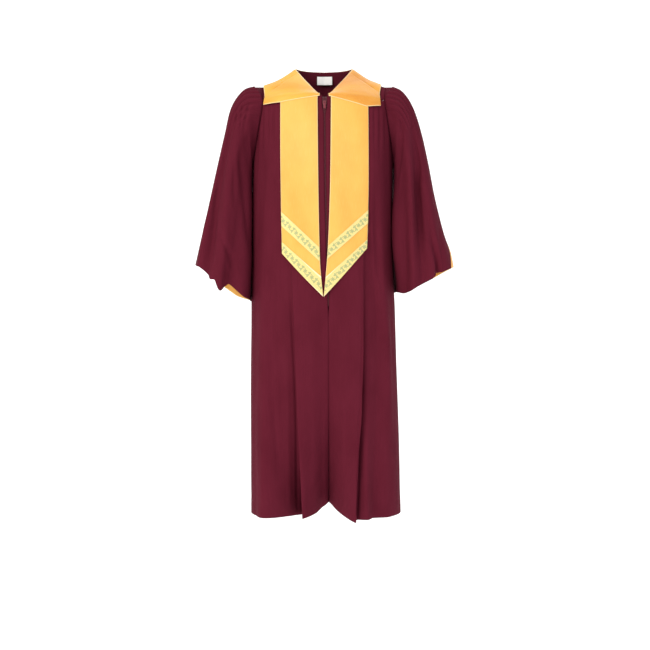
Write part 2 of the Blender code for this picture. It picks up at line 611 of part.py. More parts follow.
def on_fronts(fronts, across, height):
    """A point on the front that lies at this place, left or right of the closure."""
    middle, _ = closure_at(height)
    return np.array([across, depth_on(fronts[1 if across >= middle else -1], across, height), height])


def collar_edge_height(across, side):
    edge = collar_edges[side]
    return float(np.interp(across, [place for place, _ in edge], [height for _, height in edge]))


def reach_at(height, side):
    """How far to the side the collar reaches, from its lower corner up to the shoulder."""
    reach = collar_reach[side]
    top = max(row["height"] for row in shoulder_edge)
    share = min(max((height - yoke_seam_corner) / (top - yoke_seam_corner), 0.0), 1.0)
    return reach["corner"] + share * (reach["shoulder"] - reach["corner"])


def crossing(first, second, target):
    """How far from the first number to the second the target lies, or nothing if it is outside."""
    if first == second or not min(first, second) < target <= max(first, second):
        return None
    return (target - first) / (second - first)


def collar_places(yoke):
    """Where the collar's columns lie, counted in columns of the yoke, and which end at the side."""
    low = yoke_corner_width + seam_gap
    across = [abs(point[0]) for point in yoke[-1]]
    places = []
    for c, seam in enumerate(yoke[-1]):
        side = "left" if seam[0] > 0 else "right"
        start = collar_edges[side][0][0] if seam[1] < 0 else -collar_spacing
        reach = collar_reach[side]["corner"]
        beside = across[max(c - 1, 0):c + 2]
        if max(beside) > low:
            places.append((float(c), True))
        elif start + collar_spacing <= across[c] <= reach - collar_spacing:
            places.append((float(c), False))
        if c + 1 < len(across) and max(across[c], across[c + 1]) <= low:
            side = "left" if yoke[-1, c + 1, 0] > 0 else "right"
            for target in ([start] if start > 0 else []) + [collar_reach[side]["corner"]]:
                share = crossing(across[c], across[c + 1], target)
                if share is not None:
                    places.append((c + share, False))
    return sorted(places)


def collar_edge_point(inside, seam, from_shoulder, fronts):
    """Where the collar ends, beyond the yoke's outer edge in front and behind."""
    if from_shoulder:
        return seam + (seam - inside) * shoulder_strip
    sign = 1 if seam[0] >= 0 else -1
    if seam[1] < 0:
        start, full = collar_lift["start"], collar_lift["full"]
        ease = min(max((abs(seam[0]) - start) / (full - start), 0.0), 1.0)
        lift = collar_lift["middle"] + ease * (collar_lift["front"] - collar_lift["middle"])
        height = collar_edge_height(abs(seam[0]), "left" if sign > 0 else "right")
        return on_fronts(fronts, seam[0], height) - np.array([0.0, lift, 0.0])
    height = seam[2] - collar_back_drop
    return section_point(180.0 - angle_at(abs(seam[0]), height, sign), height, sign, collar_lift["back"])


def build_collar(yoke, fronts, material):
    """The collar lies on the yoke and comes down past its seam in front and behind."""
    yoke = np.array(yoke)
    columns = []
    for place, at_armhole in collar_places(yoke):
        c = int(place)
        column = yoke[:, c]
        if place > c:
            column = column + (place - c) * (yoke[:, c + 1] - column)
        inside, seam = column[-2], column[-1]
        if at_armhole:
            reach = reach_at(seam[2], "left" if seam[0] > 0 else "right")
            seam = inside + (seam - inside) * (reach - abs(inside[0])) / (abs(seam[0]) - abs(inside[0]))
        edge = collar_edge_point(inside, seam, at_armhole, fronts)
        if max(abs(seam[0]), abs(inside[0])) > collar_lift["start"]:
            seam = seam + np.array([0.0, math.copysign(collar_corner_rise, seam[1]), 0.0])
        columns.append(list(column[:-1]) + [seam, edge])
    grid = [list(row) for row in zip(*columns)]
    grid = moved_out(grid, [satin_wall + gap for gap in collar_gaps])
    grid_sheet("collar", grid, material, satin_wall, flip=True)


def build_label(yoke, material):
    """Woven label sewn by its top edge to the inside of the back, hanging straight down."""
    yoke = np.array(yoke)
    middle, reach = yoke.shape[1] // 2, label["columns"] // 2
    near = yoke[:, middle - reach:middle + reach + 1]
    lines = []
    for share in (label["top"], yoke_rows[1]):
        lines.append([[np.interp(share, yoke_rows, line[:, k]) for k in range(3)]
                      for line in near.transpose(1, 0, 2)])
    top = moved_out(lines, [-(gown_wall + 2 * layer_gap)] * 2)[0]
    top = top[np.argsort(top[:, 0])]
    grid = []
    for drop in (0.0, label["drop"] / 2, label["drop"]):
        across = np.linspace(label["right"], label["left"], label["columns"])
        grid.append([[x, np.interp(x, top[:, 0], top[:, 1]), np.interp(x, top[:, 0], top[:, 2]) - drop]
                     for x in across])
    grid_sheet("label", grid, material, label_wall, flip=True)


def stole_edges(side, height):
    return from_rows(stole_levels, side + "_inner", height), from_rows(stole_levels, side + "_outer", height)


def on_section(side, across, height, rise):
    """A point over the smooth front. Across is from the middle towards the side, or past it."""
    sign = 1 if side == "left" else -1
    half = sign if across >= 0 else -sign
    return section_point(angle_at(abs(across), height, half), height, half, rise)


def build_stole(side, material):
    ends = stole_ends[side]
    grid = []
    for down in np.linspace(0.0, 1.0, stole_rows):
        row = []
        for share in np.linspace(0.0, 1.0, stole_columns):
            inner, outer = stole_edges(side, yoke_seam_corner)
            top = collar_edge_height(inner + share * (outer - inner), side) - stole_gap
            low = ends["point"] + share * (ends["corner"] - ends["point"])
            height = top + (low - top) * down
            inner, outer = stole_edges(side, height)
            row.append(on_section(side, inner + share * (outer - inner), height, stole_rise))
        grid.append(row)
    grid_sheet("stole_" + side, grid, material, satin_wall, flip=side == "right")


def build_band(band, material):
    side = band["side"]
    rise = stole_rise + layer_gap + satin_wall
    grid = []
    for down in (0.0, 0.5, 1.0):
        row = []
        for share in np.linspace(0.0, 1.0, stole_columns):
            top = band["inner_top"] + share * (band["outer_top"] - band["inner_top"])
            low = band["inner_low"] + share * (band["outer_low"] - band["inner_low"])
            height = top + (low - top) * down
            inner, outer = stole_edges(side, height)
            across = inner + band_inset + share * (outer - inner - 2 * band_inset)
            row.append(on_section(side, across, height, rise))
        grid.append(row)
    grid_sheet("band_" + band["name"] + "_" + side, grid, material, satin_wall, flip=side == "right")


def tape_grid(fronts):
    """The outer face of the zip tape, just behind the closing edges of the fronts."""
    heights = [point[2] for point in [row[0] for row in fronts[1]] if zip_bottom < point[2] < zip_top]
    grid = []
    for height in [zip_top] + heights + [zip_bottom]:
        middle, _ = closure_at(height)
        across = [middle + step * zip_half_width for step in zip_columns]
        grid.append([on_fronts(fronts, x, height) for x in across])
    return moved_out(grid, [gown_wall + 2 * layer_gap] * len(grid))


def add_block(name, low, high, bevel, parent, material):
    """A box between two corners, measured from its parent, with slightly rounded edges."""
    bpy.ops.mesh.primitive_cube_add(size=1.0)
    made = bpy.context.object
    made.name = made.data.name = name
    low, high = np.array(low), np.array(high)
    for vertex in made.data.vertices:
        vertex.co = (low + high) / 2 + np.array(vertex.co) * (high - low)
    made.parent = parent
    made.data.materials.append(material)
    if bevel:
        rounding = made.modifiers.new("rounded edges", "BEVEL")
        rounding.width = bevel
        rounding.segments = 2
    move_to(made, "choir_robe")
    return made


def move_to(made, collection_name):
    for holder in list(made.users_collection):
        holder.objects.unlink(made)
    bpy.data.collections[collection_name].objects.link(made)


def cut_or_join(made, tool, operation):
    """A hidden helper solid cuts into a piece or is joined to it."""
    move_to(tool, "cutters")
    tool.hide_render = True
    tool.display_type = "WIRE"
    step = made.modifiers.new(operation.lower(), "BOOLEAN")
    step.operation = operation
    step.solver = "EXACT"
    step.object = tool


def point_at_height(line, height):
    """The point at a height on a line of points that rises."""
    return np.array([np.interp(height, line[:, 2], line[:, k]) for k in range(3)])


def build_slider(tape, metal):
    """Zip slider with its bail, and the pull tab that hangs in it. +Z here is up the tape."""
    line = (tape[::-1, 1] + tape[::-1, 2]) / 2
    steps = (slider_size["above"], 0.0, -slider_size["below"])
    above, seat, below = [point_at_height(line, pull_axis_height + step) for step in steps]
    lean = math.atan2(below[1] - above[1], above[2] - below[2])
    outward = np.array([0.0, -math.cos(lean), -math.sin(lean)])
    thickness = slider_size["thickness"]
    axis = bpy.data.objects.new("pull_axis", None)
    axis.location = seat + outward * (layer_gap + thickness + axis_rise)
    axis.rotation_euler = (lean, 0.0, 0.0)
    axis.empty_display_size = 0.01
    bpy.data.collections["choir_robe"].objects.link(axis)

    half = slider_size["width"] / 2
    low = (-half, axis_rise, -slider_size["below"])
    high = (half, axis_rise + thickness, slider_size["above"])
    slider = add_block("zip_slider", low, high, slider_size["edge"], axis, metal)
    bpy.ops.mesh.primitive_torus_add(major_radius=bail["radius"], minor_radius=bail["wire"],
                                     major_segments=20, minor_segments=8, rotation=(0.0, math.pi / 2, 0.0))
    hoop = bpy.context.object
    hoop.name = "bail_hoop"
    bpy.ops.object.transform_apply(location=False, rotation=True, scale=False)
    for vertex in hoop.data.vertices:
        vertex.co = (vertex.co[0], vertex.co[1] * bail["flatness"] + axis_rise, vertex.co[2])
    hoop.parent = axis
    cut_or_join(slider, hoop, "UNION")

    half, bar = pull["width"] / 2, pull["bar"]
    low = (-half, -pull["thickness"] / 2, bar - pull["length"])
    high = (half, pull["thickness"] / 2, bar)
    tab = add_block("zip_pull", low, high, pull["edge"], axis, metal)
    half = pull["window_width"] / 2
    low = (-half, -pull["thickness"], -bar - pull["window"])
    high = (half, pull["thickness"], -bar)
    window = add_block("pull_window", low, high, 0.0, axis, metal)
    cut_or_join(tab, window, "DIFFERENCE")


def station_value(stations, key, along, item=None):
    values = [row[key] if item is None else row[key][item] for row in stations]
    return float(smooth_curve([row["along"] for row in stations], values, along))


def tuck_depth(side, along, around):
    """How far the sleeve's cloth is pushed in towards the gown."""
    depth = 0.0
    for tuck in sleeve_tucks[side]:
        share = abs(around - tuck["around"]) / tuck["reach"]
        if share < 1.0:
            amount = float(smooth_curve(sleeve_fold_stations, tuck["across"], along))
            depth += amount * (0.5 + 0.5 * math.cos(math.pi * share))
    return depth


def sleeve_section(stations, along, around, sign, out):
    """A point of the sleeve: an oval from its outer to its inner point, moved out by a fold."""
    outer = np.array([station_value(stations, "outer", along, i) for i in (0, 1)])
    inner = np.array([station_value(stations, "inner", along, i) for i in (0, 1)])
    depth = station_value(stations, "depth", along)
    middle, reach = (outer + inner) / 2, (outer - inner) / 2
    half = np.linalg.norm(reach)
    turn = math.radians(around)
    flat, deep = math.cos(turn), -math.sin(turn)
    local = np.array([math.copysign(abs(part) ** sleeve_roundness, part) for part in (flat, deep)])
    normal = local / (half, depth)
    normal /= max(np.linalg.norm(normal), 1e-9)
    across = middle + reach / half * (local[0] * half + normal[0] * out)
    forward = station_value(stations, "forward", along) + local[1] * depth + normal[1] * out
    return np.array([sign * across[0], forward, across[1]])


def keep_off_gown(point, sign):
    """Moves a sleeve point out to just clear of the gown's side."""
    width, front, back, square = torso_at(point[2], sign)
    depth = front if point[1] < 0 else back
    share = min(abs(point[1]) / depth, 1.0)
    side = width * (1.0 - share**square) ** (1 / square) + sleeve_clearance
    return np.array([sign * max(sign * point[0], side), point[1], point[2]])


def armhole_loop(front_side, back_side, sign):
    """The armhole seam as straight pieces, with the sleeve angle that meets each of its points."""
    shoulder = [np.array([sign * row["across"], row["depth"], row["height"]]) for row in shoulder_edge]
    top = len(shoulder) // 2
    points = shoulder[top::-1] + front_side + back_side[-2::-1] + shoulder[:top - 1:-1]
    angles = shoulder_angles + list(np.linspace(corner_angle, underarm_angle, len(front_side)))
    angles += list(np.linspace(underarm_angle, 360.0 - corner_angle, len(back_side)))[1:]
    angles += [360.0 - angle for angle in shoulder_angles[::-1]]
    return np.array(points), angles


def flute_height(along, around):
    """The small rounded pleats that are drawn up round the sleeve head."""
    from_top = min(around, 360.0 - around)
    if from_top >= flutes["spread"]:
        return 0.0
    wave = 0.5 - 0.5 * math.cos(math.pi * flutes["count"] * from_top / flutes["spread"])
    ease = min((flutes["spread"] - from_top) / flutes["ease"], 1.0)
    return flutes["height"] * wave * ease * swell(along, flutes["peak"], flutes["fade"])


def fold_angles(folds, along):
    """The sleeve angles of all its fold lines at one place down the sleeve."""
    return [float(smooth_curve(sleeve_fold_stations, fold["around"], along)) for fold in folds]


def sleeve_point(sleeve, along, around):
    """A point of the sleeve's cloth, with its folds, flutes, dropped hem and armhole seam."""
    around = around % 360.0
    knots = fold_angles(sleeve["folds"], along)
    levels = [float(smooth_curve(sleeve_fold_stations, fold["out"], along)) for fold in sleeve["folds"]]
    out = float(smooth_curve(knots, levels, around)) + flute_height(along, around)
    point = sleeve_section(sleeve["stations"], along, around, sleeve["sign"], out)
    point[0] -= sleeve["sign"] * tuck_depth(sleeve["side"], along, around)
    drop = float(smooth_curve(knots, [fold["drop"] for fold in sleeve["folds"]], around))
    point[2] -= drop * max((along - hem_drop_start) / (1.0 - hem_drop_start), 0.0)
    seam = np.array([np.interp(around, sleeve["loop_angles"], sleeve["loop"][:, k]) for k in range(3)])
    seam[0] += sleeve["sign"] * armhole_gap
    blend = min(along / head_blend, 1.0)
    blend = blend * blend * (3 - 2 * blend)
    ring_start = sleeve_section(sleeve["stations"], 0.0, around, sleeve["sign"], 0.0)
    point = point + (1 - blend) * (seam - ring_start)
    return keep_off_gown(point, sleeve["sign"]) if along > 0 else seam


def ring_angles(folds, along, middle, fluted):
    """Angles of a ring's points, once round from the gore's middle line."""
    if fluted:
        step = 2 * flutes["spread"] / (flutes["count"] * flute_steps)
        head = np.arange(-flutes["spread"], flutes["spread"] + step / 2, step)
        count = round((360.0 - 2 * flutes["spread"]) / plain_step)
        under = np.linspace(flutes["spread"], 360.0 - flutes["spread"], count + 1)[1:-1]
        angles = sorted({round(float(a) % 360.0, 4) for a in list(head) + list(under)})
    else:
        knots = fold_angles(folds, along)
        places = column_places(folds)[:-1]
        angles = [float(smooth_curve(range(len(folds)), knots, place)) for place in places]
    turned = sorted(angle if angle > middle + 1.0 else angle + 360.0 for angle in angles)
    turned = [angle for angle in turned if angle < middle + 359.0]
    return [middle] + turned + [middle + 360.0]


def gore_half_width(side, along):
    return gores[side]["half_width"] * max((along - gore_top) / (1 - gore_top), 0.0)


def beside_gore(side, along, around):
    """Moves an angle clear of the gore, and less so further from it."""
    gore = gores[side]
    width = gore_half_width(side, along)
    squeeze = (gore["reach"] - width) / gore["reach"]
    start, end = gore["middle"], gore["middle"] + 360.0
    if around - start < gore["reach"]:
        return start + width + (around - start) * squeeze
    if end - around < gore["reach"]:
        return end - width - (end - around) * squeeze
    return around


def build_sleeve(side, front_side, back_side, material, gore_material):
    """Sleeve tube from the armhole seam to the hem, split near the hem for its gore."""
    sign = 1 if side == "left" else -1
    loop, loop_angles = armhole_loop(front_side, back_side, sign)
    sleeve = dict(side=side, sign=sign, loop=loop, loop_angles=loop_angles, stations=sleeve_stations[side],
                  folds=sleeve_folds[side])
    rings = []
    for r, along in enumerate(sleeve_rows):
        angles = ring_angles(sleeve["folds"], along, gores[side]["middle"], r < flute_rows)
        rings.append([sleeve_point(sleeve, along, beside_gore(side, along, angle)) for angle in angles])
    for ring, along in zip(rings, sleeve_rows):
        if along > gore_top:
            toward = (ring[-1] - ring[0]) / np.linalg.norm(ring[-1] - ring[0])
            ring[0] = ring[0] - toward * gore_gap / 2
            ring[-1] = ring[-1] + toward * gore_gap / 2
    points, faces = sleeve_faces(rings, sign)
    give_wall(add_mesh("sleeve_" + side, points, faces, material), gown_wall)
    build_gore(side, sleeve, gore_material)


def build_gore(side, sleeve, material):
    grid = []
    for along in np.linspace(gore_top + gore_point, 1.0, gore_rows):
        width = gore_half_width(side, along)
        angles = gores[side]["middle"] + np.linspace(-width, width, gore_columns)
        row = [sleeve_point(sleeve, along, angle) for angle in angles]
        toward = (row[-1] - row[0]) / np.linalg.norm(row[-1] - row[0])
        row[0] = row[0] + toward * gore_gap / 2
        row[-1] = row[-1] - toward * gore_gap / 2
        grid.append(row)
    grid_sheet("sleeve_gore_" + side, grid, material, satin_wall, flip=sleeve["sign"] < 0)


def sleeve_faces(rings, sign):
    """Joins the rings. The fine rings of the head meet the coarser ones below in a row of wedges."""
    points, starts = [], []
    for ring, along in zip(rings, sleeve_rows):
        starts.append(len(points))
        points += ring if along > gore_top else ring[:-1]

    def index(r, c):
        closed = sleeve_rows[r] <= gore_top
        return starts[r] + (c % (len(rings[r]) - 1) if closed else c)

    faces = []
    for r in range(len(rings) - 1):
        upper, lower = len(rings[r]) - 1, len(rings[r + 1]) - 1
        if upper == lower:
            for c in range(upper):
                faces.append((index(r, c), index(r + 1, c), index(r + 1, c + 1), index(r, c + 1)))
            continue
        a = b = 0
        while a < upper or b < lower:
            if b >= lower or (a < upper and (a + 1) * lower <= (b + 1) * upper):
                faces.append((index(r, a), index(r + 1, b), index(r, a + 1)))
                a += 1
            else:
                faces.append((index(r, a), index(r + 1, b), index(r + 1, b + 1)))
                b += 1
    return points, [tuple(reversed(face)) for face in faces] if sign > 0 else faces


def clear_scene():
    for old in list(bpy.data.objects):
        bpy.data.objects.remove(old)
    for name in ("choir_robe", "cutters"):
        bpy.context.scene.collection.children.link(bpy.data.collections.new(name))


def build_gown():
    clear_scene()
    gown = make_material("gown_cloth", gown_colour, roughness=0.85)
    satin = make_material("gold_satin", satin_colour, roughness=0.35)
    brocade = make_material("brocade", brocade_colour, roughness=0.45)
    tape_cloth = make_material("zip_tape_cloth", tape_colour, roughness=0.8)
    metal = make_material("painted_metal", metal_colour, roughness=0.35, metallic=0.8)
    woven = make_material("label_cloth", label_colour, roughness=0.7)
    fronts, backs, halves, sides = {}, {}, {}, {}
    for sign, name, folds in ((-1, "front_right", right_front_folds), (1, "front_left", left_front_folds)):
        fronts[sign] = panel_grid(folds, sign, False, front_gathers)
        backs[sign] = panel_grid(back_folds, sign, True, back_gathers)
        build_panel(name, fronts[sign], gown, flip=sign < 0)
        front_corner = column_places(folds).index(corner_place(folds))
        back_corner = column_places(back_folds).index(corner_place(back_folds))
        front_top, back_top = fronts[sign][0], backs[sign][0]
        halves[sign] = half_spokes(front_top[:front_corner + 1], back_top[:back_corner + 1], sign)
        sides[sign] = (front_top[front_corner:], back_top[back_corner:])
    whole_back = [left[::-1][:-1] + right for left, right in zip(backs[1], backs[-1])]
    build_panel("back", whole_back, gown)
    spokes = halves[-1] + halves[1][-2::-1]
    yoke = build_yoke(spokes, gown)
    build_collar(yoke, fronts, satin)
    build_label(yoke, woven)
    for side in ("right", "left"):
        build_stole(side, satin)
    for band in bands:
        build_band(band, brocade)
    tape = tape_grid(fronts)
    grid_sheet("zip_tape", tape, tape_cloth, tape_wall)
    build_slider(tape, metal)
    build_sleeve("right", *sides[-1], gown, satin)
    build_sleeve("left", *sides[1], gown, satin)


build_gown()
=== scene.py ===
import math

import bpy
import numpy as np
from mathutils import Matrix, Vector, noise


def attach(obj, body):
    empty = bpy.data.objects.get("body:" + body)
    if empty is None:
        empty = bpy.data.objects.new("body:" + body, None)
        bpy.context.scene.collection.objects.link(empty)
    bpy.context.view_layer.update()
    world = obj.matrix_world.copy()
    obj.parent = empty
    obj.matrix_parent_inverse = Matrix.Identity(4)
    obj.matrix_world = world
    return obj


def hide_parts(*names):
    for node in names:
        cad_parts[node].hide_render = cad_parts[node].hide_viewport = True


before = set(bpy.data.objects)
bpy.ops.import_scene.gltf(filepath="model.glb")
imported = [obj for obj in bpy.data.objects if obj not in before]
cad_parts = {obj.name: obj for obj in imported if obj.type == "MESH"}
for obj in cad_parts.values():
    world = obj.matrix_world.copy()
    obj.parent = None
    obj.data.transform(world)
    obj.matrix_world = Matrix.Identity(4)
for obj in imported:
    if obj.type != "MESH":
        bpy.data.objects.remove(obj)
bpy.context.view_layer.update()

print("frame loaded:", len(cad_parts), "nodes")


# Curves and tables

def smoothRun(stops, values, at):
    # a smooth curve that never swings past its stops; values may differ from point to point
    stops = np.asarray(stops, float)
    at = np.clip(np.asarray(at, float), stops[0], stops[-1])
    values = np.asarray(values, float)
    values = values.reshape(values.shape + (1,) * (at.ndim + 1 - values.ndim)) * np.ones((1,) + at.shape)
    steps = np.diff(stops).reshape((-1,) + (1,) * at.ndim)
    slopes = np.diff(values, axis=0) / steps
    before, after = slopes[:-1], slopes[1:]
    near, far = 2 * steps[1:] + steps[:-1], steps[1:] + 2 * steps[:-1]
    turns = before * after <= 0
    before, after = np.where(turns, 1.0, before), np.where(turns, 1.0, after)
    inner = np.where(turns, 0.0, (near + far) / (near / before + far / after))
    tangents = np.concatenate([slopes[:1], inner, slopes[-1:]])
    place = np.clip(np.searchsorted(stops, at, side="right") - 1, 0, len(stops) - 2)
    width = np.diff(stops)[place]
    t = (at - stops[place]) / width
    start, end = pickRow(values, place), pickRow(values, place + 1)
    leave, arrive = pickRow(tangents, place) * width, pickRow(tangents, place + 1) * width
    return ((2 * t**3 - 3 * t**2 + 1) * start + (t**3 - 2 * t**2 + t) * leave
            + (3 * t**2 - 2 * t**3) * end + (t**3 - t**2) * arrive)


def pickRow(table, row):
    return np.take_along_axis(table, row[None], 0)[0]


def readTable(rows, key, at, by="height"):
    ordered = sorted(rows, key=lambda row: row[by])
    return smoothRun([row[by] for row in ordered], [row[key] for row in ordered], at)


def swell(distance, peak, fade):
    # rises from nothing at a seam to one at the peak, then dies away
    rise = np.sin(0.5 * np.pi * np.clip(distance, 0.0, peak) / peak)
    return np.where(distance <= peak, rise, np.exp(-(((distance - peak) / fade) ** 2)))


def ease(value, low, high):
    t = np.clip((value - low) / (high - low), 0.0, 1.0)
    return t * t * (3 - 2 * t)


# Sheets of cloth

def deselectAll():
    for other in bpy.context.selected_objects:
        other.select_set(False)


def choose(piece):
    deselectAll()
    piece.select_set(True)
    bpy.context.view_layer.objects.active = piece


def applyAll(piece):
    choose(piece)
    for modifier in list(piece.modifiers):
        bpy.ops.object.modifier_apply(modifier=modifier.name)


def gridNormals(grid):
    across = np.gradient(grid, axis=1)
    down = np.gradient(grid, axis=0)
    normals = np.cross(across, down)
    return normals / np.maximum(np.linalg.norm(normals, axis=2, keepdims=True), 1e-12)


def faceOut(grid, outward):
    # turns the columns round if need be, so that the sheet's face looks outward
    middle = gridNormals(grid)[grid.shape[0] // 2, grid.shape[1] // 2]
    return grid if middle @ np.array(outward) > 0 else grid[:, ::-1]


def moveOut(grid, distance, outward):
    normals = gridNormals(grid)
    middle = normals[grid.shape[0] // 2, grid.shape[1] // 2]
    sign = 1.0 if middle @ np.array(outward) > 0 else -1.0
    return grid + sign * normals * np.asarray(distance)[..., None]


def clothLengths(grid):
    # metres across and down the cloth, from its own points
    across = np.linalg.norm(np.diff(grid, axis=1), axis=2)
    down = np.linalg.norm(np.diff(grid, axis=0), axis=2)
    across = np.concatenate([np.zeros((grid.shape[0], 1)), np.cumsum(across, axis=1)], axis=1)
    down = np.concatenate([np.zeros((1, grid.shape[1])), np.cumsum(down, axis=0)], axis=0)
    return across, down


def thicken(piece, thickness):
    # gives a sheet its wall of cloth, inwards from its face
    wall = piece.modifiers.new("cloth", "SOLIDIFY")
    wall.thickness = thickness
    wall.offset = -1.0
    applyAll(piece)


def makeSheet(name, grid, outward, thickness, material, edges="tblr"):
    # a grid primitive shaped to the points; edges names the sides that are cut edges
    grid = faceOut(np.asarray(grid, float), outward)
    rows, columns = grid.shape[:2]
    deselectAll()
    bpy.ops.mesh.primitive_grid_add(x_subdivisions=columns - 1, y_subdivisions=rows - 1, size=1.0)
    piece = bpy.context.object
    piece.name = piece.data.name = name
    piece.data.vertices.foreach_set("co", grid.astype(np.float32).ravel())
    across, down = clothLengths(grid)
    uv = np.stack([across - across[:, columns // 2][:, None], down], axis=2).reshape(-1, 2)
    corners = np.empty(len(piece.data.loops), np.int32)
    piece.data.loops.foreach_get("vertex_index", corners)
    piece.data.uv_layers.active.data.foreach_set("uv", uv[corners].astype(np.float32).ravel())
    sides = dict(t=down, b=down[-1:] - down, l=across, r=across[:, -1:] - across)
    nearest = np.min([sides[side] for side in edges], axis=0)
    layer = piece.data.attributes.new("edgeDistance", "FLOAT", "POINT")
    layer.data.foreach_set("value", nearest.astype(np.float32).ravel())
    piece.data.materials.append(material)
    piece.data.shade_smooth()
    if thickness:
        thicken(piece, thickness)
    piece.data.update()
    return piece


def dress(piece, slot, *nodes):
    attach(piece, "robe")
    if nodes:
        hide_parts(*nodes)


def rumple(across, down, size, seed, stretch=1.0):
    # gentle unevenness of hanging cloth, longer down the cloth than across
    flatAcross, flatDown = across.ravel() / size, down.ravel() / (size * stretch)
    values = [noise.noise(Vector((u, v, seed))) for u, v in zip(flatAcross, flatDown)]
    return np.array(values).reshape(across.shape)


def hemLine(down, form, softness):
    # the shallow groove that a turned hem's stitching draws above the edge
    fromHem = down[-1:] - down
    return form["hemGroove"] * np.exp(-(((fromHem - form["hemDepth"]) / softness) ** 2))


def creaseDepth(creases, across, height):
    # soft troughs and ridges along given lines: across and height in metres
    total = np.zeros(across.shape)
    for crease in creases:
        path = np.array(crease["path"], float) / 1000
        lengths = np.linalg.norm(np.diff(path, axis=0), axis=1)
        runs = np.concatenate([[0.0], np.cumsum(lengths)]) / lengths.sum()
        best, along = np.full(across.shape, 1e9), np.zeros(across.shape)
        for i, length in enumerate(lengths):
            start, step = path[i], path[i + 1] - path[i]
            t = ((across - start[0]) * step[0] + (height - start[1]) * step[1]) / length**2
            t = np.clip(t, 0.0, 1.0)
            gap = np.hypot(across - start[0] - t * step[0], height - start[1] - t * step[1])
            along = np.where(gap < best, runs[i] + t * (runs[i + 1] - runs[i]), along)
            best = np.minimum(gap, best)
        head, tail = crease.get("ends", (0.25, 0.35))
        taper = ease(along, 0.0, max(head, 1e-3)) * ease(1 - along, 0.0, max(tail, 1e-3))
        total += crease["depth"] / 1000 * taper * np.exp(-((best * 1000 / crease["width"]) ** 2))
    return total


# Materials

def toLinear(hexColour):
    parts = [int(hexColour[i:i + 2], 16) / 255 for i in (1, 3, 5)]
    return tuple(p / 12.92 if p <= 0.04045 else ((p + 0.055) / 1.055) ** 2.4 for p in parts) + (1.0,)


def addNode(tree, kind, settings=(), inputs=(), links=()):
    # one node with its settings, its fixed inputs and what feeds it
    node = tree.nodes.new(kind)
    for key, value in dict(settings).items():
        setattr(node, key, value)
    for key, value in dict(inputs).items():
        node.inputs[key].default_value = value
    for key, source in dict(links).items():
        tree.links.new(source, node.inputs[key])
    return node


def newMaterial(name, fixed):
    material = bpy.data.materials.new(name)
    material.use_nodes = True
    shader = material.node_tree.nodes["Principled BSDF"]
    for socket, value in fixed.items():
        shader.inputs[socket].default_value = value
    return material, material.node_tree, shader


def mixColour(tree, factor, first, second):
    # colours may be hex words or sockets
    mix = addNode(tree, "ShaderNodeMix", dict(data_type="RGBA", blend_type="MIX"))
    for socket, colour in ((mix.inputs[6], first), (mix.inputs[7], second)):
        if isinstance(colour, str):
            socket.default_value = toLinear(colour)
        else:
            tree.links.new(colour, socket)
    tree.links.new(factor, mix.inputs[0])
    return mix.outputs[2]


def math2(tree, operation, first, second=0.0, third=0.0):
    node = addNode(tree, "ShaderNodeMath", dict(operation=operation))
    for i, value in enumerate((first, second, third)):
        if isinstance(value, (int, float)):
            node.inputs[i].default_value = value
        else:
            tree.links.new(value, node.inputs[i])
    return node.outputs[0]


def ramp(tree, source, low, high, start=0.0, end=1.0):
    node = addNode(tree, "ShaderNodeMapRange", dict(interpolation_type="SMOOTHSTEP"),
                   {"From Min": low, "From Max": high, "To Min": start, "To Max": end}, {"Value": source})
    return node.outputs["Result"]


def clothPlace(tree):
    # across and down the cloth in metres, from the piece's own map
    map_ = addNode(tree, "ShaderNodeTexCoord")
    split = addNode(tree, "ShaderNodeSeparateXYZ", links={0: map_.outputs["UV"]})
    return map_.outputs["UV"], split.outputs[0], split.outputs[1]


def plainWeave(tree, across, down, spacing):
    # over and under of plain weave: one thread each way every spacing metres
    turns = math.pi / spacing
    return math2(tree, "MULTIPLY", math2(tree, "SINE", math2(tree, "MULTIPLY", across, turns)),
                 math2(tree, "SINE", math2(tree, "MULTIPLY", down, turns)))


def streaks(tree, place, acrossScale, downScale, detail=2.0):
    scaled = addNode(tree, "ShaderNodeMapping", inputs={"Scale": (acrossScale, downScale, 1.0)},
                     links={"Vector": place})
    return addNode(tree, "ShaderNodeTexNoise", inputs={"Scale": 1.0, "Detail": detail},
                   links={"Vector": scaled.outputs[0]}).outputs["Fac"]


def edgeGap(tree):
    return addNode(tree, "ShaderNodeAttribute", dict(attribute_name="edgeDistance")).outputs["Fac"]


def bumpFrom(tree, shader, height, depth):
    bump = addNode(tree, "ShaderNodeBump", inputs={"Strength": 1.0, "Distance": depth},
                   links={"Height": height})
    tree.links.new(bump.outputs[0], shader.inputs["Normal"])


gownCloth = dict(
    cloth="#5E1B2B", deep="#4A0F1D", pale="#662031",
    thread=0.0009,       # real threads are 0.3 mm apart; drawn three times as coarse so that they show
    threadDepth=0.00010,
    roughness=0.85, sheen=0.05, sheenRoughness=0.5, sheenTint="#8A3446",
)


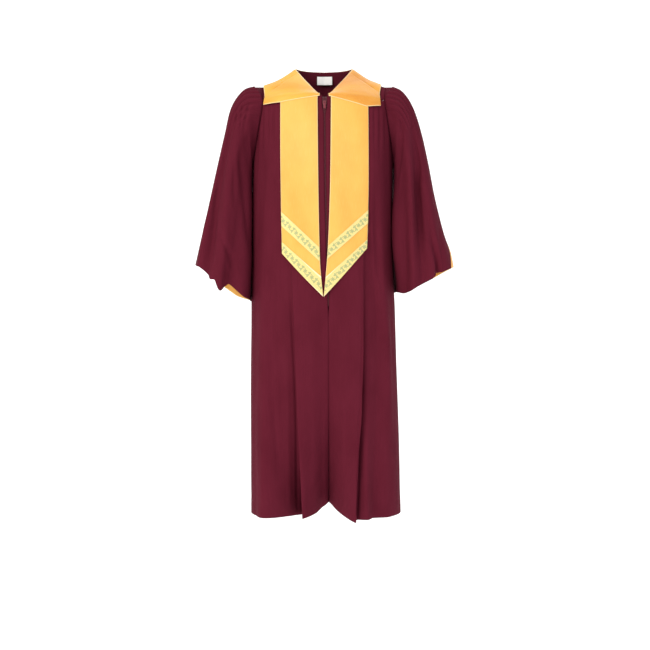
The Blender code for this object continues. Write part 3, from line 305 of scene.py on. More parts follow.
def gownMaterial():
    # matte spun polyester in plain weave: even, dull, with a faint bloom where it turns away
    spec = gownCloth
    material, tree, shader = newMaterial("plain_woven_polyester", {
        "Roughness": spec["roughness"], "Sheen Weight": spec["sheen"],
        "Sheen Roughness": spec["sheenRoughness"], "Sheen Tint": toLinear(spec["sheenTint"]),
        "Specular IOR Level": 0.06,
    })
    place, across, down = clothPlace(tree)
    warp = streaks(tree, place, 900.0, 9.0)
    clouds = streaks(tree, place, 14.0, 6.0, 3.0)
    colour = mixColour(tree, ramp(tree, warp, 0.35, 0.7, 0.0, 0.35), spec["cloth"], spec["pale"])
    colour = mixColour(tree, ramp(tree, clouds, 0.35, 0.75, 0.0, 0.35), colour, spec["deep"])
    weave = plainWeave(tree, across, down, spec["thread"])
    # painted shade: where the weave sinks lowest, as the bump also draws it, the colour turns towards the
    # deep colour
    colour = mixColour(tree, ramp(tree, weave, -1.0, 0.2, 0.3, 0.0), colour, spec["deep"])
    tree.links.new(colour, shader.inputs["Base Color"])
    height = math2(tree, "MULTIPLY_ADD", warp, 0.15, weave)
    bumpFrom(tree, shader, height, spec["threadDepth"])
    return material


goldSatin = dict(
    face="#FBB94F", warm="#F4A238", pale="#FFD07A", rim="#FFE3A6",
    # the collar's own colours; the pair after them is the span across, in metres, over which painted shade
    # turns the collar a deeper orange towards the wearer's left
    collarFace="#F6B83E", collarWarm="#DB8C25", collarShadeSpan=(-0.075, 0.045),
    thread=0.0006,       # fine warp floats, drawn twice as coarse
    threadDepth=0.00004,
    roughness=0.42, sheen=0.25, anisotropy=0.45,
    rimWidth=0.0032,
)


def satinMaterial(forCollar=False):
    # polyester satin: long warp floats give a soft lengthwise gloss, and a painted highlight lightens the
    # rolled cut edges;
    # the collar also has painted shade, yellower on the wearer's right and a deeper orange on the wearer's
    # left
    spec = goldSatin
    face, warm = (spec["collarFace"], spec["collarWarm"]) if forCollar else (spec["face"], spec["warm"])
    name = "polyester_satin_collar_shaded" if forCollar else "polyester_satin"
    material, tree, shader = newMaterial(name, {
        "Roughness": spec["roughness"], "Sheen Weight": spec["sheen"], "Sheen Roughness": 0.35,
        "Sheen Tint": toLinear(spec["pale"]), "Anisotropic": spec["anisotropy"],
        "Specular IOR Level": 0.55,
    })
    place, warpPlace, _ = clothPlace(tree)
    floats = streaks(tree, place, 1600.0, 40.0)
    clouds = streaks(tree, place, 9.0, 5.0, 2.0)
    share = ramp(tree, clouds, 0.3, 0.72, 0.0, 0.5 if forCollar else 0.8)
    # painted shade: on the collar the warm colour's share grows across towards the wearer's left, the side
    # turned from the key light
    if forCollar:
        where = addNode(tree, "ShaderNodeTexCoord").outputs["Object"]
        across = addNode(tree, "ShaderNodeSeparateXYZ", links={"Vector": where}).outputs["X"]
        share = math2(tree, "ADD", share, ramp(tree, across, *spec["collarShadeSpan"], 0.0, 0.5))
    colour = mixColour(tree, share, face, warm)
    colour = mixColour(tree, ramp(tree, floats, 0.45, 0.8, 0.0, 0.35), colour, spec["pale"])
    gap = edgeGap(tree)
    # painted highlight: near a cut edge the colour turns to the pale rim colour, as if the rolled edge caught
    # the light
    colour = mixColour(tree, ramp(tree, gap, 0.0006, spec["rimWidth"], 0.85, 0.0), colour, spec["rim"])
    tree.links.new(colour, shader.inputs["Base Color"])
    threads = math2(tree, "SINE", math2(tree, "MULTIPLY", warpPlace, 2 * math.pi / spec["thread"]))
    height = math2(tree, "MULTIPLY_ADD", floats, 0.8, threads)
    press = ramp(tree, gap, spec["rimWidth"] * 0.8, spec["rimWidth"] * 1.3, 3.0, 0.0)
    height = math2(tree, "ADD", height, press)
    bumpFrom(tree, shader, height, spec["threadDepth"])
    return material


brocade = dict(
    ground="#EDDD93", groundLow="#DCC878", motif="#B6B981", motifLow="#A2A870", rim="#FBEBB9",
    repeat=0.024,        # one flower and one leaf spray along the band
    height=0.0165,       # the pattern's row, between plain edges
    flower=dict(count=6.0, reach=0.0062, soft=0.0017),
    spray=dict(count=3.0, reach=0.0046, soft=0.0014),
    sprayOffset=0.0042, vineSwing=0.0052, vineWidth=(0.0006, 0.0013),
    threadDepth=0.00012,
)


def brocadeMaterial():
    # brocade ribbon: raised scroll of leaves and small six-petalled flowers on a plain ground
    spec = brocade
    material, tree, shader = newMaterial("woven_brocade_ribbon", {
        "Roughness": 0.5, "Sheen Weight": 0.2, "Sheen Roughness": 0.4, "Metallic": 0.12,
        "Specular IOR Level": 0.5,
    })
    place, _, _ = clothPlace(tree)
    middle = addNode(tree, "ShaderNodeAttribute", dict(attribute_name="bandAcross")).outputs["Fac"]
    along = addNode(tree, "ShaderNodeAttribute", dict(attribute_name="bandAlong")).outputs["Fac"]
    turn = math2(tree, "MULTIPLY", along, 1.0 / spec["repeat"])
    cell = math2(tree, "SUBTRACT", math2(tree, "FRACT", turn), 0.5)
    x = math2(tree, "MULTIPLY", cell, spec["repeat"])
    flower = petals(tree, x, middle, 0.0, **spec["flower"])
    side = math2(tree, "SUBTRACT", math2(tree, "FRACT", math2(tree, "ADD", turn, 0.5)), 0.5)
    side = math2(tree, "MULTIPLY", side, spec["repeat"])
    upper = petals(tree, side, middle, spec["sprayOffset"], **spec["spray"])
    lower = petals(tree, side, middle, -spec["sprayOffset"], **spec["spray"])
    vine = math2(tree, "SINE", math2(tree, "MULTIPLY", turn, 2 * math.pi))
    vine = math2(tree, "MULTIPLY", vine, spec["vineSwing"])
    vine = math2(tree, "ABSOLUTE", math2(tree, "SUBTRACT", middle, vine))
    vine = ramp(tree, vine, *spec["vineWidth"], 1.0, 0.0)
    sprays = math2(tree, "MAXIMUM", upper, lower)
    motif = math2(tree, "MAXIMUM", math2(tree, "MAXIMUM", flower, vine), sprays)
    fromMiddle = math2(tree, "ABSOLUTE", middle)
    inside = ramp(tree, fromMiddle, spec["height"] * 0.62, spec["height"] * 0.68, 1.0, 0.0)
    motif = math2(tree, "MULTIPLY", motif, inside)
    speckle = streaks(tree, place, 700.0, 700.0)
    ground = mixColour(tree, ramp(tree, speckle, 0.35, 0.7), spec["ground"], spec["groundLow"])
    leaf = mixColour(tree, ramp(tree, speckle, 0.4, 0.65), spec["motif"], spec["motifLow"])
    colour = mixColour(tree, motif, ground, leaf)
    edge = ramp(tree, fromMiddle, spec["height"] * 0.80, spec["height"] * 0.92)
    colour = mixColour(tree, edge, colour, spec["rim"])
    tree.links.new(colour, shader.inputs["Base Color"])
    height = math2(tree, "MULTIPLY_ADD", motif, 2.0, math2(tree, "MULTIPLY", speckle, 0.8))
    bumpFrom(tree, shader, height, spec["threadDepth"])
    return material


def petals(tree, across, y, centre, count, reach, soft):
    # a flower of round petals: its edge swings in and out as the angle turns
    up = math2(tree, "SUBTRACT", y, centre)
    angle = math2(tree, "ARCTAN2", up, across)
    swing = math2(tree, "ABSOLUTE", math2(tree, "COSINE", math2(tree, "MULTIPLY", angle, count / 2)))
    edge = math2(tree, "MULTIPLY_ADD", swing, reach * 0.6, reach * 0.4)
    squares = [math2(tree, "MULTIPLY", part, part) for part in (across, up)]
    radius = math2(tree, "SQRT", math2(tree, "ADD", *squares))
    inside = math2(tree, "SUBTRACT", radius, edge)
    return ramp(tree, inside, -soft * 0.4, soft * 0.2, 1.0, 0.0)


def tapeMaterial():
    # woven zip tape: a dull herringbone ribbon
    material, tree, shader = newMaterial("woven_zip_tape", {"Roughness": 0.8, "Sheen Weight": 0.2})
    _, across, down = clothPlace(tree)
    weave = plainWeave(tree, across, down, 0.0008)
    # painted shade: the tape is darker where its weave sinks and lighter where it stands up, following the
    # bump
    colour = mixColour(tree, ramp(tree, weave, -0.6, 0.6), "#451019", "#5A1A26")
    tree.links.new(colour, shader.inputs["Base Color"])
    bumpFrom(tree, shader, weave, 0.0001)
    return material


def nylonMaterial():
    # moulded nylon zip teeth, dyed to the cloth
    material, tree, shader = newMaterial("dyed_nylon", {"Roughness": 0.35, "Specular IOR Level": 0.5})
    speckle = objectNoise(tree, 600.0)
    tree.links.new(mixColour(tree, speckle, "#5E1826", "#4A111C"), shader.inputs["Base Color"])
    return material


def objectNoise(tree, scale, detail=2.0):
    place = addNode(tree, "ShaderNodeTexCoord").outputs["Object"]
    return addNode(tree, "ShaderNodeTexNoise", inputs={"Scale": scale, "Detail": detail},
                   links={"Vector": place}).outputs["Fac"]


def enamelMaterial():
    # die-cast zip slider with maroon-red enamel, a little worn to metal on its corners
    material, tree, shader = newMaterial("enamelled_zinc", {
        "Metallic": 0.35, "Roughness": 0.32, "Coat Weight": 0.4, "Coat Roughness": 0.2,
    })
    wear = objectNoise(tree, 900.0, 4.0)
    colour = mixColour(tree, ramp(tree, wear, 0.55, 0.72, 0.0, 0.6), "#7A2A35", "#A86A6E")
    tree.links.new(colour, shader.inputs["Base Color"])
    bumpFrom(tree, shader, wear, 0.00003)
    return material


def labelMaterial():
    # woven satin label, left bare
    material, tree, shader = newMaterial("woven_label", {"Roughness": 0.6, "Sheen Weight": 0.15})
    _, across, down = clothPlace(tree)
    weave = plainWeave(tree, across, down, 0.0007)
    # painted shade: the label is a little greyer where its weave sinks and whiter where it stands up
    colour = mixColour(tree, ramp(tree, weave, -0.8, 0.8), "#F8F8F5", "#FFFFFF")
    gap = edgeGap(tree)
    colour = mixColour(tree, ramp(tree, gap, 0.0008, 0.0014, 0.5, 0.0), colour, "#E6E6E2")
    tree.links.new(colour, shader.inputs["Base Color"])
    bumpFrom(tree, shader, weave, 0.00006)
    return material


def makeMaterials():
    made = dict(gown=gownMaterial(), satin=satinMaterial(), collar=satinMaterial(True),
                brocade=brocadeMaterial(), tape=tapeMaterial(), nylon=nylonMaterial(),
                enamel=enamelMaterial(), label=labelMaterial())
    print("materials:", ", ".join(m.name for m in made.values()))
    return made


# Gown: fronts and back

gown = dict(
    thickness=0.0008, columnsPerStep=5, rows=200, rowBias=1.12,
    edgeRoll=0.0040, edgeRollDepth=0.0012, lowRollLoss=0.0009, meet=0.0006,
    hemDepth=0.024, hemGroove=0.00035, hemSoftness=0.0015, fineSize=0.35, fineShare=0.35, fineShift=7.0,
    seamEase=0.012, topEase=0.006, calmBelowSeam=0.05, stoleEdge=(0.105, 0.125), belowStole=(0.60, 0.70),
    meetBelow=(0.655, 0.675), lowRollBelow=(0.64, 0.70),
    rumple=0.0011, rumpleSize=0.055, rumpleStretch=4.0, underStole=0.25,
)
# The gown on a general figure, level by level. Widths are from the middle to each side.
torsoLevels = (
    dict(height=-0.080, rightWidth=0.189, leftWidth=0.187, front=0.090, back=0.088, square=2.2),
    dict(height=-0.180, rightWidth=0.190, leftWidth=0.188, front=0.115, back=0.109, square=2.3),
    dict(height=-0.280, rightWidth=0.194, leftWidth=0.188, front=0.129, back=0.119, square=2.4),
    dict(height=-0.450, rightWidth=0.198, leftWidth=0.188, front=0.135, back=0.118, square=2.4),
    dict(height=-0.600, rightWidth=0.199, leftWidth=0.191, front=0.138, back=0.124, square=2.4),
    dict(height=-0.660, rightWidth=0.199, leftWidth=0.194, front=0.139, back=0.127, square=2.4),
    dict(height=-0.900, rightWidth=0.200, leftWidth=0.201, front=0.143, back=0.138, square=2.5),
    dict(height=-1.215, rightWidth=0.199, leftWidth=0.210, front=0.148, back=0.152, square=2.5),
)
hemHeight = -1.212
yokeSeamCentre = -0.0950
yokeSeamCorner = -0.100
yokeCornerWidth = 0.163
armholeBottom = -0.275
armholeSteps = 5
seamGap = 0.0001

# Line where the two fronts meet, which drifts to the wearer's left as it falls
closureLine = (
    dict(height=-0.080, across=0.0015, halfGap=0.0068),
    dict(height=-0.122, across=0.0017, halfGap=0.0060),
    dict(height=-0.150, across=0.0019, halfGap=0.0020),
    dict(height=-0.300, across=0.0032, halfGap=0.0020),
    dict(height=-0.620, across=0.0110, halfGap=0.0018),
    dict(height=-0.700, across=0.0122, halfGap=0.0004),
    dict(height=-0.950, across=0.0130, halfGap=0.0004),
    dict(height=-1.215, across=0.0148, halfGap=0.0004),
)

# Folds of each panel from the middle outwards. A row is one line down the cloth: how far across it
# lies, and how far out of the figure's section it stands, at each of the fold levels.
foldLevels = (-0.08, -0.30, -0.60, -0.75, -0.90, -1.05, -1.215)
flat = (0.0,) * len(foldLevels)
atSide = (1.0,) * len(foldLevels)
rightFrontFolds = (
    dict(name="closing edge", steps=3, lift=0.030, across=None,
         out=(0.0, 0.0, -0.002, -0.010, -0.026, -0.060, -0.112)),
    dict(name="middle of flap", steps=4, lift=0.008,
         across=(0.045, 0.042, 0.033, 0.032, 0.030, 0.027, 0.023),
         out=(0.0, 0.0, 0.001, -0.001, -0.008, -0.026, -0.060)),
    dict(name="flap fold", steps=2, lift=0.0,
         across=(0.095, 0.088, 0.080, 0.0755, 0.0715, 0.064, 0.0575),
         out=(0.0, 0.0, 0.002, 0.004, 0.003, -0.006, -0.022)),
    dict(name="shadow behind flap", steps=4, lift=-0.004,
         across=(0.101, 0.096, 0.0880, 0.0825, 0.0765, 0.0735, 0.0710),
         out=(0.0, 0.0, -0.005, -0.011, -0.022, -0.048, -0.100)),
    dict(name="side hollow", steps=4, lift=0.0,
         across=(0.126, 0.120, 0.122, 0.120, 0.117, 0.113, 0.110),
         out=(0.0, 0.001, -0.003, -0.008, -0.015, -0.028, -0.048)),
    dict(name="side crest", steps=3, lift=0.0,
         across=(0.146, 0.150, 0.158, 0.160, 0.160, 0.160, 0.159),
         out=(0.0, 0.003, 0.004, 0.006, 0.008, 0.009, 0.010)),
    dict(name="armhole corner", steps=armholeSteps, lift=0.000,
         across=(0.162, 0.170, 0.181, 0.185, 0.186, 0.185, 0.184),
         out=flat),
    dict(name="side seam", steps=0, lift=-0.002, across=atSide,
         out=flat),
)
leftFrontFolds = (
    dict(name="closing edge", steps=3, lift=0.030, across=None,
         out=(0.0, 0.0, -0.002, -0.010, -0.026, -0.060, -0.112)),
    dict(name="middle of flap", steps=4, lift=0.009,
         across=(0.050, 0.052, 0.058, 0.056, 0.054, 0.051, 0.047),
         out=(0.0, 0.0, 0.002, 0.002, -0.003, -0.018, -0.050)),
    dict(name="flap fold", steps=2, lift=-0.007,
         across=(0.098, 0.100, 0.102, 0.1015, 0.0975, 0.0890, 0.0830),
         out=(0.0, 0.0, 0.003, 0.006, 0.008, 0.006, 0.000)),
    dict(name="shadow behind flap", steps=3, lift=-0.003,
         across=(0.108, 0.107, 0.1085, 0.1080, 0.1035, 0.0945, 0.0890),
         out=(0.0, 0.0, -0.008, -0.012, -0.014, -0.014, -0.018)),
    dict(name="second fold", steps=3, lift=0.0,
         across=(0.118, 0.118, 0.1215, 0.1200, 0.1160, 0.1130, 0.1120),
         out=(0.0, 0.001, -0.008, -0.010, -0.008, 0.000, 0.004)),
    dict(name="side hollow", steps=3, lift=0.0,
         across=(0.130, 0.129, 0.137, 0.142, 0.142, 0.140, 0.137),
         out=(0.0, 0.004, -0.007, -0.010, -0.010, -0.012, -0.014)),
    dict(name="side crest", steps=3, lift=0.0,
         across=(0.147, 0.148, 0.157, 0.168, 0.172, 0.172, 0.170),
         out=(0.0, 0.003, 0.005, 0.006, 0.005, 0.001, -0.002)),
    dict(name="armhole corner", steps=armholeSteps, lift=0.001,
         across=(0.162, 0.169, 0.178, 0.184, 0.188, 0.190, 0.190),
         out=(0.0, 0.0, 0.0, -0.001, 0.0, 0.001, 0.0)),
    dict(name="side seam", steps=0, lift=-0.001, across=atSide,
         out=flat),
)
backFolds = (
    dict(name="centre hollow", steps=4, lift=0.006,
         across=(0.0, 0.0, 0.0, 0.0, 0.0, 0.0, 0.0),
         out=(0.0, -0.002, -0.006, -0.010, -0.014, -0.019, -0.024)),
    dict(name="inner fold", steps=4, lift=-0.002,
         across=(0.038, 0.042, 0.046, 0.046, 0.046, 0.047, 0.048),
         out=(0.0, 0.003, 0.005, 0.006, 0.007, 0.008, 0.009)),
    dict(name="inner hollow", steps=3, lift=0.004,
         across=(0.072, 0.076, 0.082, 0.083, 0.083, 0.083, 0.083),
         out=(0.0, -0.002, -0.007, -0.011, -0.015, -0.019, -0.024)),
    dict(name="outer fold", steps=4, lift=-0.002,
         across=(0.102, 0.108, 0.116, 0.118, 0.119, 0.120, 0.121),
         out=(0.0, 0.003, 0.004, 0.005, 0.006, 0.008, 0.010)),
    dict(name="outer hollow", steps=3, lift=0.003,
         across=(0.128, 0.136, 0.147, 0.151, 0.153, 0.155, 0.156),
         out=(0.0, -0.001, -0.005, -0.008, -0.010, -0.012, -0.014)),
    dict(name="armhole corner", steps=armholeSteps, lift=0.0,
         across=(0.162, 0.170, 0.180, 0.185, 0.187, 0.188, 0.188),
         out=(0.0, 0.0, 0.0, 0.001, 0.002, 0.003, 0.003)),
    dict(name="side seam", steps=0, lift=-0.001, across=atSide,
         out=flat),
)
# Small gathers that start at the yoke seam and fade out below it
frontGathers = dict(count=11.0, height=0.0024, start=0.130, innerStart=0.118, peak=0.035, fade=0.10)
backGathers = dict(count=15.0, height=0.0030, start=0.012, innerStart=0.0, peak=0.035, fade=0.14)
gatherSideFade = 25.0

# Creases of the fronts and back, in millimetres across and up: troughs are below nothing
frontRightCreases = (
    dict(path=((-90, -570), (-88, -610), (-83, -728), (-76, -843), (-72, -984), (-70, -1200)),
         depth=-2.6, width=4.0, ends=(0.25, 0.01)),
    dict(path=((-149, -650), (-143, -704), (-134, -913), (-122, -1052), (-117, -1160)),
         depth=-2.4, width=9.0, ends=(0.35, 0.3)),
    dict(path=((-152, -150), (-149, -198), (-141, -235)), depth=-1.8, width=4.5, ends=(0.2, 0.6)),
    dict(path=((-134, -125), (-135, -184), (-132, -250)), depth=-1.5, width=4.0, ends=(0.2, 0.6)),
    dict(path=((-122, -125), (-124, -200), (-121, -330)), depth=1.0, width=5.0, ends=(0.2, 0.5)),
    dict(path=((-160, -200), (-158, -300), (-163, -440)), depth=-1.6, width=6.0, ends=(0.4, 0.5)),
    dict(path=((-60, -660), (-55, -800), (-52, -940)), depth=0.9, width=10.0, ends=(0.4, 0.5)),
    dict(path=((-100, -700), (-95, -900), (-92, -1190)), depth=1.3, width=7.0, ends=(0.4, 0.02)),
    dict(path=((-168, -760), (-170, -950), (-173, -1190)), depth=-1.4, width=6.0, ends=(0.5, 0.05)),
    dict(path=((-32, -880), (-36, -1030), (-40, -1190)), depth=-0.9, width=8.0, ends=(0.5, 0.05)),
)
frontLeftCreases = (
    dict(path=((104, -500), (103, -640), (101, -741), (99, -877), (92, -960), (89, -1052), (85, -1200)),
         depth=-2.6, width=4.0, ends=(0.3, 0.01)),
    dict(path=((104, -900), (104, -984), (110, -1194)), depth=1.6, width=6.0, ends=(0.5, 0.02)),
    dict(path=((126, -300), (123, -413), (134, -565), (155, -665), (165, -704), (170, -840)),
         depth=2.2, width=6.0, ends=(0.3, 0.5)),
    dict(path=((137, -330), (139, -450), (146, -570), (160, -640)), depth=-2.0, width=7.0, ends=(0.3, 0.5)),
    dict(path=((148, -140), (150, -200), (143, -290)), depth=-1.8, width=4.5, ends=(0.2, 0.6)),
    dict(path=((133, -128), (134, -190), (131, -270)), depth=-1.5, width=4.0, ends=(0.2, 0.6)),
    dict(path=((62, -650), (60, -800), (55, -980)), depth=0.9, width=10.0, ends=(0.4, 0.5)),
    dict(path=((140, -800), (139, -960), (137, -1190)), depth=-1.6, width=7.0, ends=(0.5, 0.02)),
    dict(path=((40, -900), (42, -1040), (44, -1190)), depth=-0.8, width=7.0, ends=(0.5, 0.05)),
)
backCreases = (
    dict(path=((-38, -125), (-60, -300), (-66, -800), (-70, -1190)), depth=-2.5, width=6.0, ends=(0.3, 0.02)),
    dict(path=((25, -130), (28, -500), (22, -900), (20, -1190)), depth=-2.0, width=5.0, ends=(0.3, 0.05)),
    dict(path=((95, -140), (98, -420), (104, -760), (110, -1190)), depth=-2.8, width=7.0, ends=(0.3, 0.02)),
    dict(path=((-120, -150), (-126, -500), (-132, -900)), depth=-2.4, width=6.0, ends=(0.3, 0.5)),
    dict(path=((60, -160), (66, -600), (72, -1190)), depth=2.0, width=8.0, ends=(0.3, 0.05)),
    dict(path=((-95, -200), (-100, -700), (-98, -1190)), depth=2.0, width=9.0, ends=(0.3, 0.05)),
    dict(path=((140, -180), (150, -520), (152, -860)), depth=-2.0, width=6.0, ends=(0.3, 0.5)),
    dict(path=((-20, -140), (-16, -380), (-22, -700)), depth=1.4, width=6.0, ends=(0.3, 0.5)),
)


def torsoAt(height, half):
    left, right = (readTable(torsoLevels, key, height) for key in ("leftWidth", "rightWidth"))
    width = np.where(half > 0, left, right)
    return [width] + [readTable(torsoLevels, key, height) for key in ("front", "back", "square")]


def sectionPoint(angle, height, half, out=0.0):
    # a point of the gown's section; the angle runs from the front middle, 0, to the back, 180
    angle, height = np.broadcast_arrays(np.asarray(angle, float), np.asarray(height, float))
    width, front, back, square = torsoAt(height, half)
    depth = np.where(angle <= 90.0, front, back)
    sine, cosine = np.sin(np.radians(angle)), np.cos(np.radians(angle))
    x = width * np.abs(sine) ** (2 / square)
    y = -np.sign(cosine) * depth * np.abs(cosine) ** (2 / square)
    slopeX = np.abs(x / width) ** (square - 1) / width
    slopeY = np.sign(y) * np.abs(y / depth) ** (square - 1) / depth
    length = np.maximum(np.hypot(slopeX, slopeY), 1e-9)
    return np.stack([half * (x + out * slopeX / length), y + out * slopeY / length, height], axis=-1)


def angleAt(across, height, half):
    width, _, _, square = torsoAt(height, half)
    return np.degrees(np.arcsin(np.clip(across / width, 0.0, 1.0) ** (square / 2)))


def onSection(across, height, rise, isBack=False):
    # a point over the smooth gown, left or right of the middle
    half = np.where(across >= 0, 1.0, -1.0)
    angle = angleAt(np.abs(across), height, half)
    return sectionPoint(180.0 - angle if isBack else angle, height, half, rise)


def foldAcross(fold, height, sign):
    if fold["across"] is None:
        return sign * readTable(closureLine, "across", height) + readTable(closureLine, "halfGap", height)
    return smoothRun(foldLevels[::-1], fold["across"][::-1], height)


def panelPlaces(folds):
    places = []
    for i, fold in enumerate(folds[:-1]):
        count = fold["steps"] * gown["columnsPerStep"]
        places += [i + step / count for step in range(count)]
    return np.array(places + [len(folds) - 1.0])


def seamHeight(across):
    share = np.clip(np.abs(across) / yokeCornerWidth, 0.0, 1.0)
    return yokeSeamCentre + share * (yokeSeamCorner - yokeSeamCentre)


def gatherRipple(gathers, across, belowSeam, angle):
    # rounded pipes below the yoke seam, none under the stole and none at the side seam
    start = np.clip((across - gathers["innerStart"]) / (gathers["start"] - gathers["innerStart"]), 0.0, 1.0)
    side = np.clip((90.0 - angle) / gatherSideFade, 0.0, 1.0)
    wave = np.abs(np.sin(np.pi * gathers["count"] * across / yokeCornerWidth)) ** 1.3
    return gathers["height"] * start * side * wave * swell(belowSeam, gathers["peak"], gathers["fade"])


def cornerPlace(folds):
    return float(next(i for i, fold in enumerate(folds) if fold["name"] == "armhole corner"))


def panelGrid(folds, sign, isBack, gathers):
    knots, place = np.arange(len(folds)), panelPlaces(folds)
    corner = cornerPlace(folds)
    topAcross = smoothRun(knots, [float(foldAcross(fold, yokeSeamCorner, sign)) for fold in folds], place)
    swing = 0.5 * np.pi * np.clip(place - corner, 0.0, 1.0)
    top = np.where(place <= corner, seamHeight(topAcross),
                   yokeSeamCorner + (armholeBottom - yokeSeamCorner) * np.sin(swing))
    hem = hemHeight + smoothRun(knots, [fold["lift"] for fold in folds], place)
    share = np.linspace(0.0, 1.0, gown["rows"])[:, None] ** gown["rowBias"]
    height = top + (hem - top) * share
    placeAll = np.broadcast_to(place, height.shape)
    angles, outs = [], []
    for fold in folds:
        across = foldAcross(fold, height, sign)
        beyond = -angleAt(np.abs(across), height, -sign)
        angles.append(np.where(across < 0, beyond, angleAt(across, height, sign)))
        outs.append(smoothRun(foldLevels[::-1], fold["out"][::-1], height))
    angle, out = smoothRun(knots, angles, placeAll), smoothRun(knots, outs, placeAll)
    half = np.where(angle < 0, -sign, sign)
    angle = np.abs(angle)
    across = np.abs(sectionPoint(angle, height, half)[..., 0])
    out = out + gatherRipple(gathers, across, top - height, angle)
    grid = sectionPoint(180.0 - angle if isBack else angle, height, half, out)
    grid[:, -1, 1] += seamGap / 2 if isBack else -seamGap / 2
    if not isBack:
        grid[:, :1, 0] -= sign * gown["meet"] * ease(-grid[:, :1, 2], *gown["meetBelow"])
    return grid


def softenPanel(grid, outward, creases, seed, closing):
    # creases, unevenness, the turned hem and the folded closing edge
    across, down = clothLengths(grid)
    belowSeam = ease(down, 0.0, gown["calmBelowSeam"])
    out = creaseDepth(creases, grid[..., 0], grid[..., 2])
    uneven = rumple(across, down, gown["rumpleSize"], seed, gown["rumpleStretch"])
    fine = rumple(across, down, gown["rumpleSize"] * gown["fineSize"], seed + gown["fineShift"],
                  gown["rumpleStretch"] * 1.5)
    clearOfStole = np.maximum(ease(np.abs(grid[..., 0]), *gown["stoleEdge"]),
                              ease(-grid[..., 2], *gown["belowStole"]))
    calm = belowSeam * np.maximum(clearOfStole, gown["underStole"])
    out = out + gown["rumple"] * calm * (uneven + gown["fineShare"] * fine)
    out = out - hemLine(down, gown, gown["hemSoftness"])
    if closing:
        low = ease(-grid[..., 2], *gown["lowRollBelow"])
        depth = gown["edgeRollDepth"] - gown["lowRollLoss"] * low
        out = out - depth * np.clip(1 - across / gown["edgeRoll"], 0.0, 1.0) ** 2
    sideSeam = ease(across[:, -1:] - across, 0.0, gown["seamEase"])
    return moveOut(grid, out * sideSeam * ease(down, 0.0, gown["topEase"]), outward)


def buildGown(materials):
    panels = dict(fronts={}, backs={}, sides={})
    for sign, name, folds in ((-1, "front_right", rightFrontFolds), (1, "front_left", leftFrontFolds)):
        panels["fronts"][sign] = panelGrid(folds, sign, False, frontGathers)
        panels["backs"][sign] = panelGrid(backFolds, sign, True, backGathers)
        creases = frontRightCreases if sign < 0 else frontLeftCreases
        grid = softenPanel(panels["fronts"][sign], (0, -1, 0), creases, 3.0 + sign, True)
        piece = makeSheet(name + "_cloth", grid, (0, -1, 0), gown["thickness"], materials["gown"], "lb")
        dress(piece, "gown_cloth", name + "_upper", name + "_lower")
    whole = np.concatenate([panels["backs"][1][:, :0:-1], panels["backs"][-1]], axis=1)
    grid = softenBack(whole)
    piece = makeSheet("back_cloth", grid, (0, 1, 0), gown["thickness"], materials["gown"], "b")
    dress(piece, "gown_cloth", "back_upper", "back_lower")
    print("gown: two fronts and the back")
    return panels


def softenBack(grid):
    across, down = clothLengths(grid)
    out = creaseDepth(backCreases, grid[..., 0], grid[..., 2])
    uneven = rumple(across, down, gown["rumpleSize"], 11.0, gown["rumpleStretch"])
    out = out + gown["rumple"] * ease(down, 0.0, gown["calmBelowSeam"]) * uneven
    out = out - hemLine(down, gown, gown["hemSoftness"])
    sides = ease(np.minimum(across, across[:, -1:] - across), 0.0, gown["seamEase"])
    return moveOut(grid, out * sides * ease(down, 0.0, gown["topEase"]), (0, 1, 0))


# Yoke, collar and label

# Neckline from the middle of the front round to the middle of the back, for the left half
neckline = (
    dict(around=0.00, across=0.0125, depth=-0.0870, height=-0.0932),
    dict(around=0.20, across=0.0390, depth=-0.0580, height=-0.0587),
    dict(around=0.36, across=0.0620, depth=-0.0270, height=-0.0266),
    dict(around=0.50, across=0.0770, depth=0.0020, height=-0.0010),
    dict(around=0.62, across=0.0670, depth=0.0350, height=0.0050),
    dict(around=0.78, across=0.0420, depth=0.0590, height=0.0078),
    dict(around=1.00, across=0.0000, depth=0.0690, height=0.0085),
)
shoulderEdge = (
    dict(around=0.415, across=0.1637, depth=-0.0470, height=-0.0850),
    dict(around=0.43, across=0.1652, depth=-0.0360, height=-0.0700),
    dict(around=0.47, across=0.1665, depth=-0.0180, height=-0.0560),
    dict(around=0.50, across=0.1670, depth=0.0030, height=-0.0510),
    dict(around=0.54, across=0.1665, depth=0.0230, height=-0.0560),
    dict(around=0.59, across=0.1652, depth=0.0400, height=-0.0720),
    dict(around=0.61, across=0.1637, depth=0.0480, height=-0.0860),
)
yokeFrontAround = 0.40
yokeBackAround = 0.63
# How far the yoke's cloth stands out over straight lines: in front from the middle to the
# corner, behind at the middle, and over the shoulders, where it dips
frontBulge = (0.0024, 0.0054, 0.0060)
backBulge = 0.010
shoulderDip = -0.011
# The collar's lower edge in front, as places across and heights from its tip to its corner
collarEdges = dict(
    right=((0.0114, -0.0965), (0.1150, -0.1115), (0.1600, -0.1137)),
    left=((0.0125, -0.0970), (0.1120, -0.1235), (0.1475, -0.1178)),
)
collarBackDrop = 0.014
collarReach = dict(
    right=dict(corner=0.1580, shoulder=0.1640),
    left=dict(corner=0.1475, shoulder=0.1553),
)
yokeGap = 0.0014
yoke = dict(thickness=0.0008, rows=26, shoulderPoints=60)


def neckPoint(around, sign):
    return np.stack([sign * readTable(neckline, "across", around, "around"),
                     readTable(neckline, "depth", around, "around"),
                     readTable(neckline, "height", around, "around")], axis=-1)


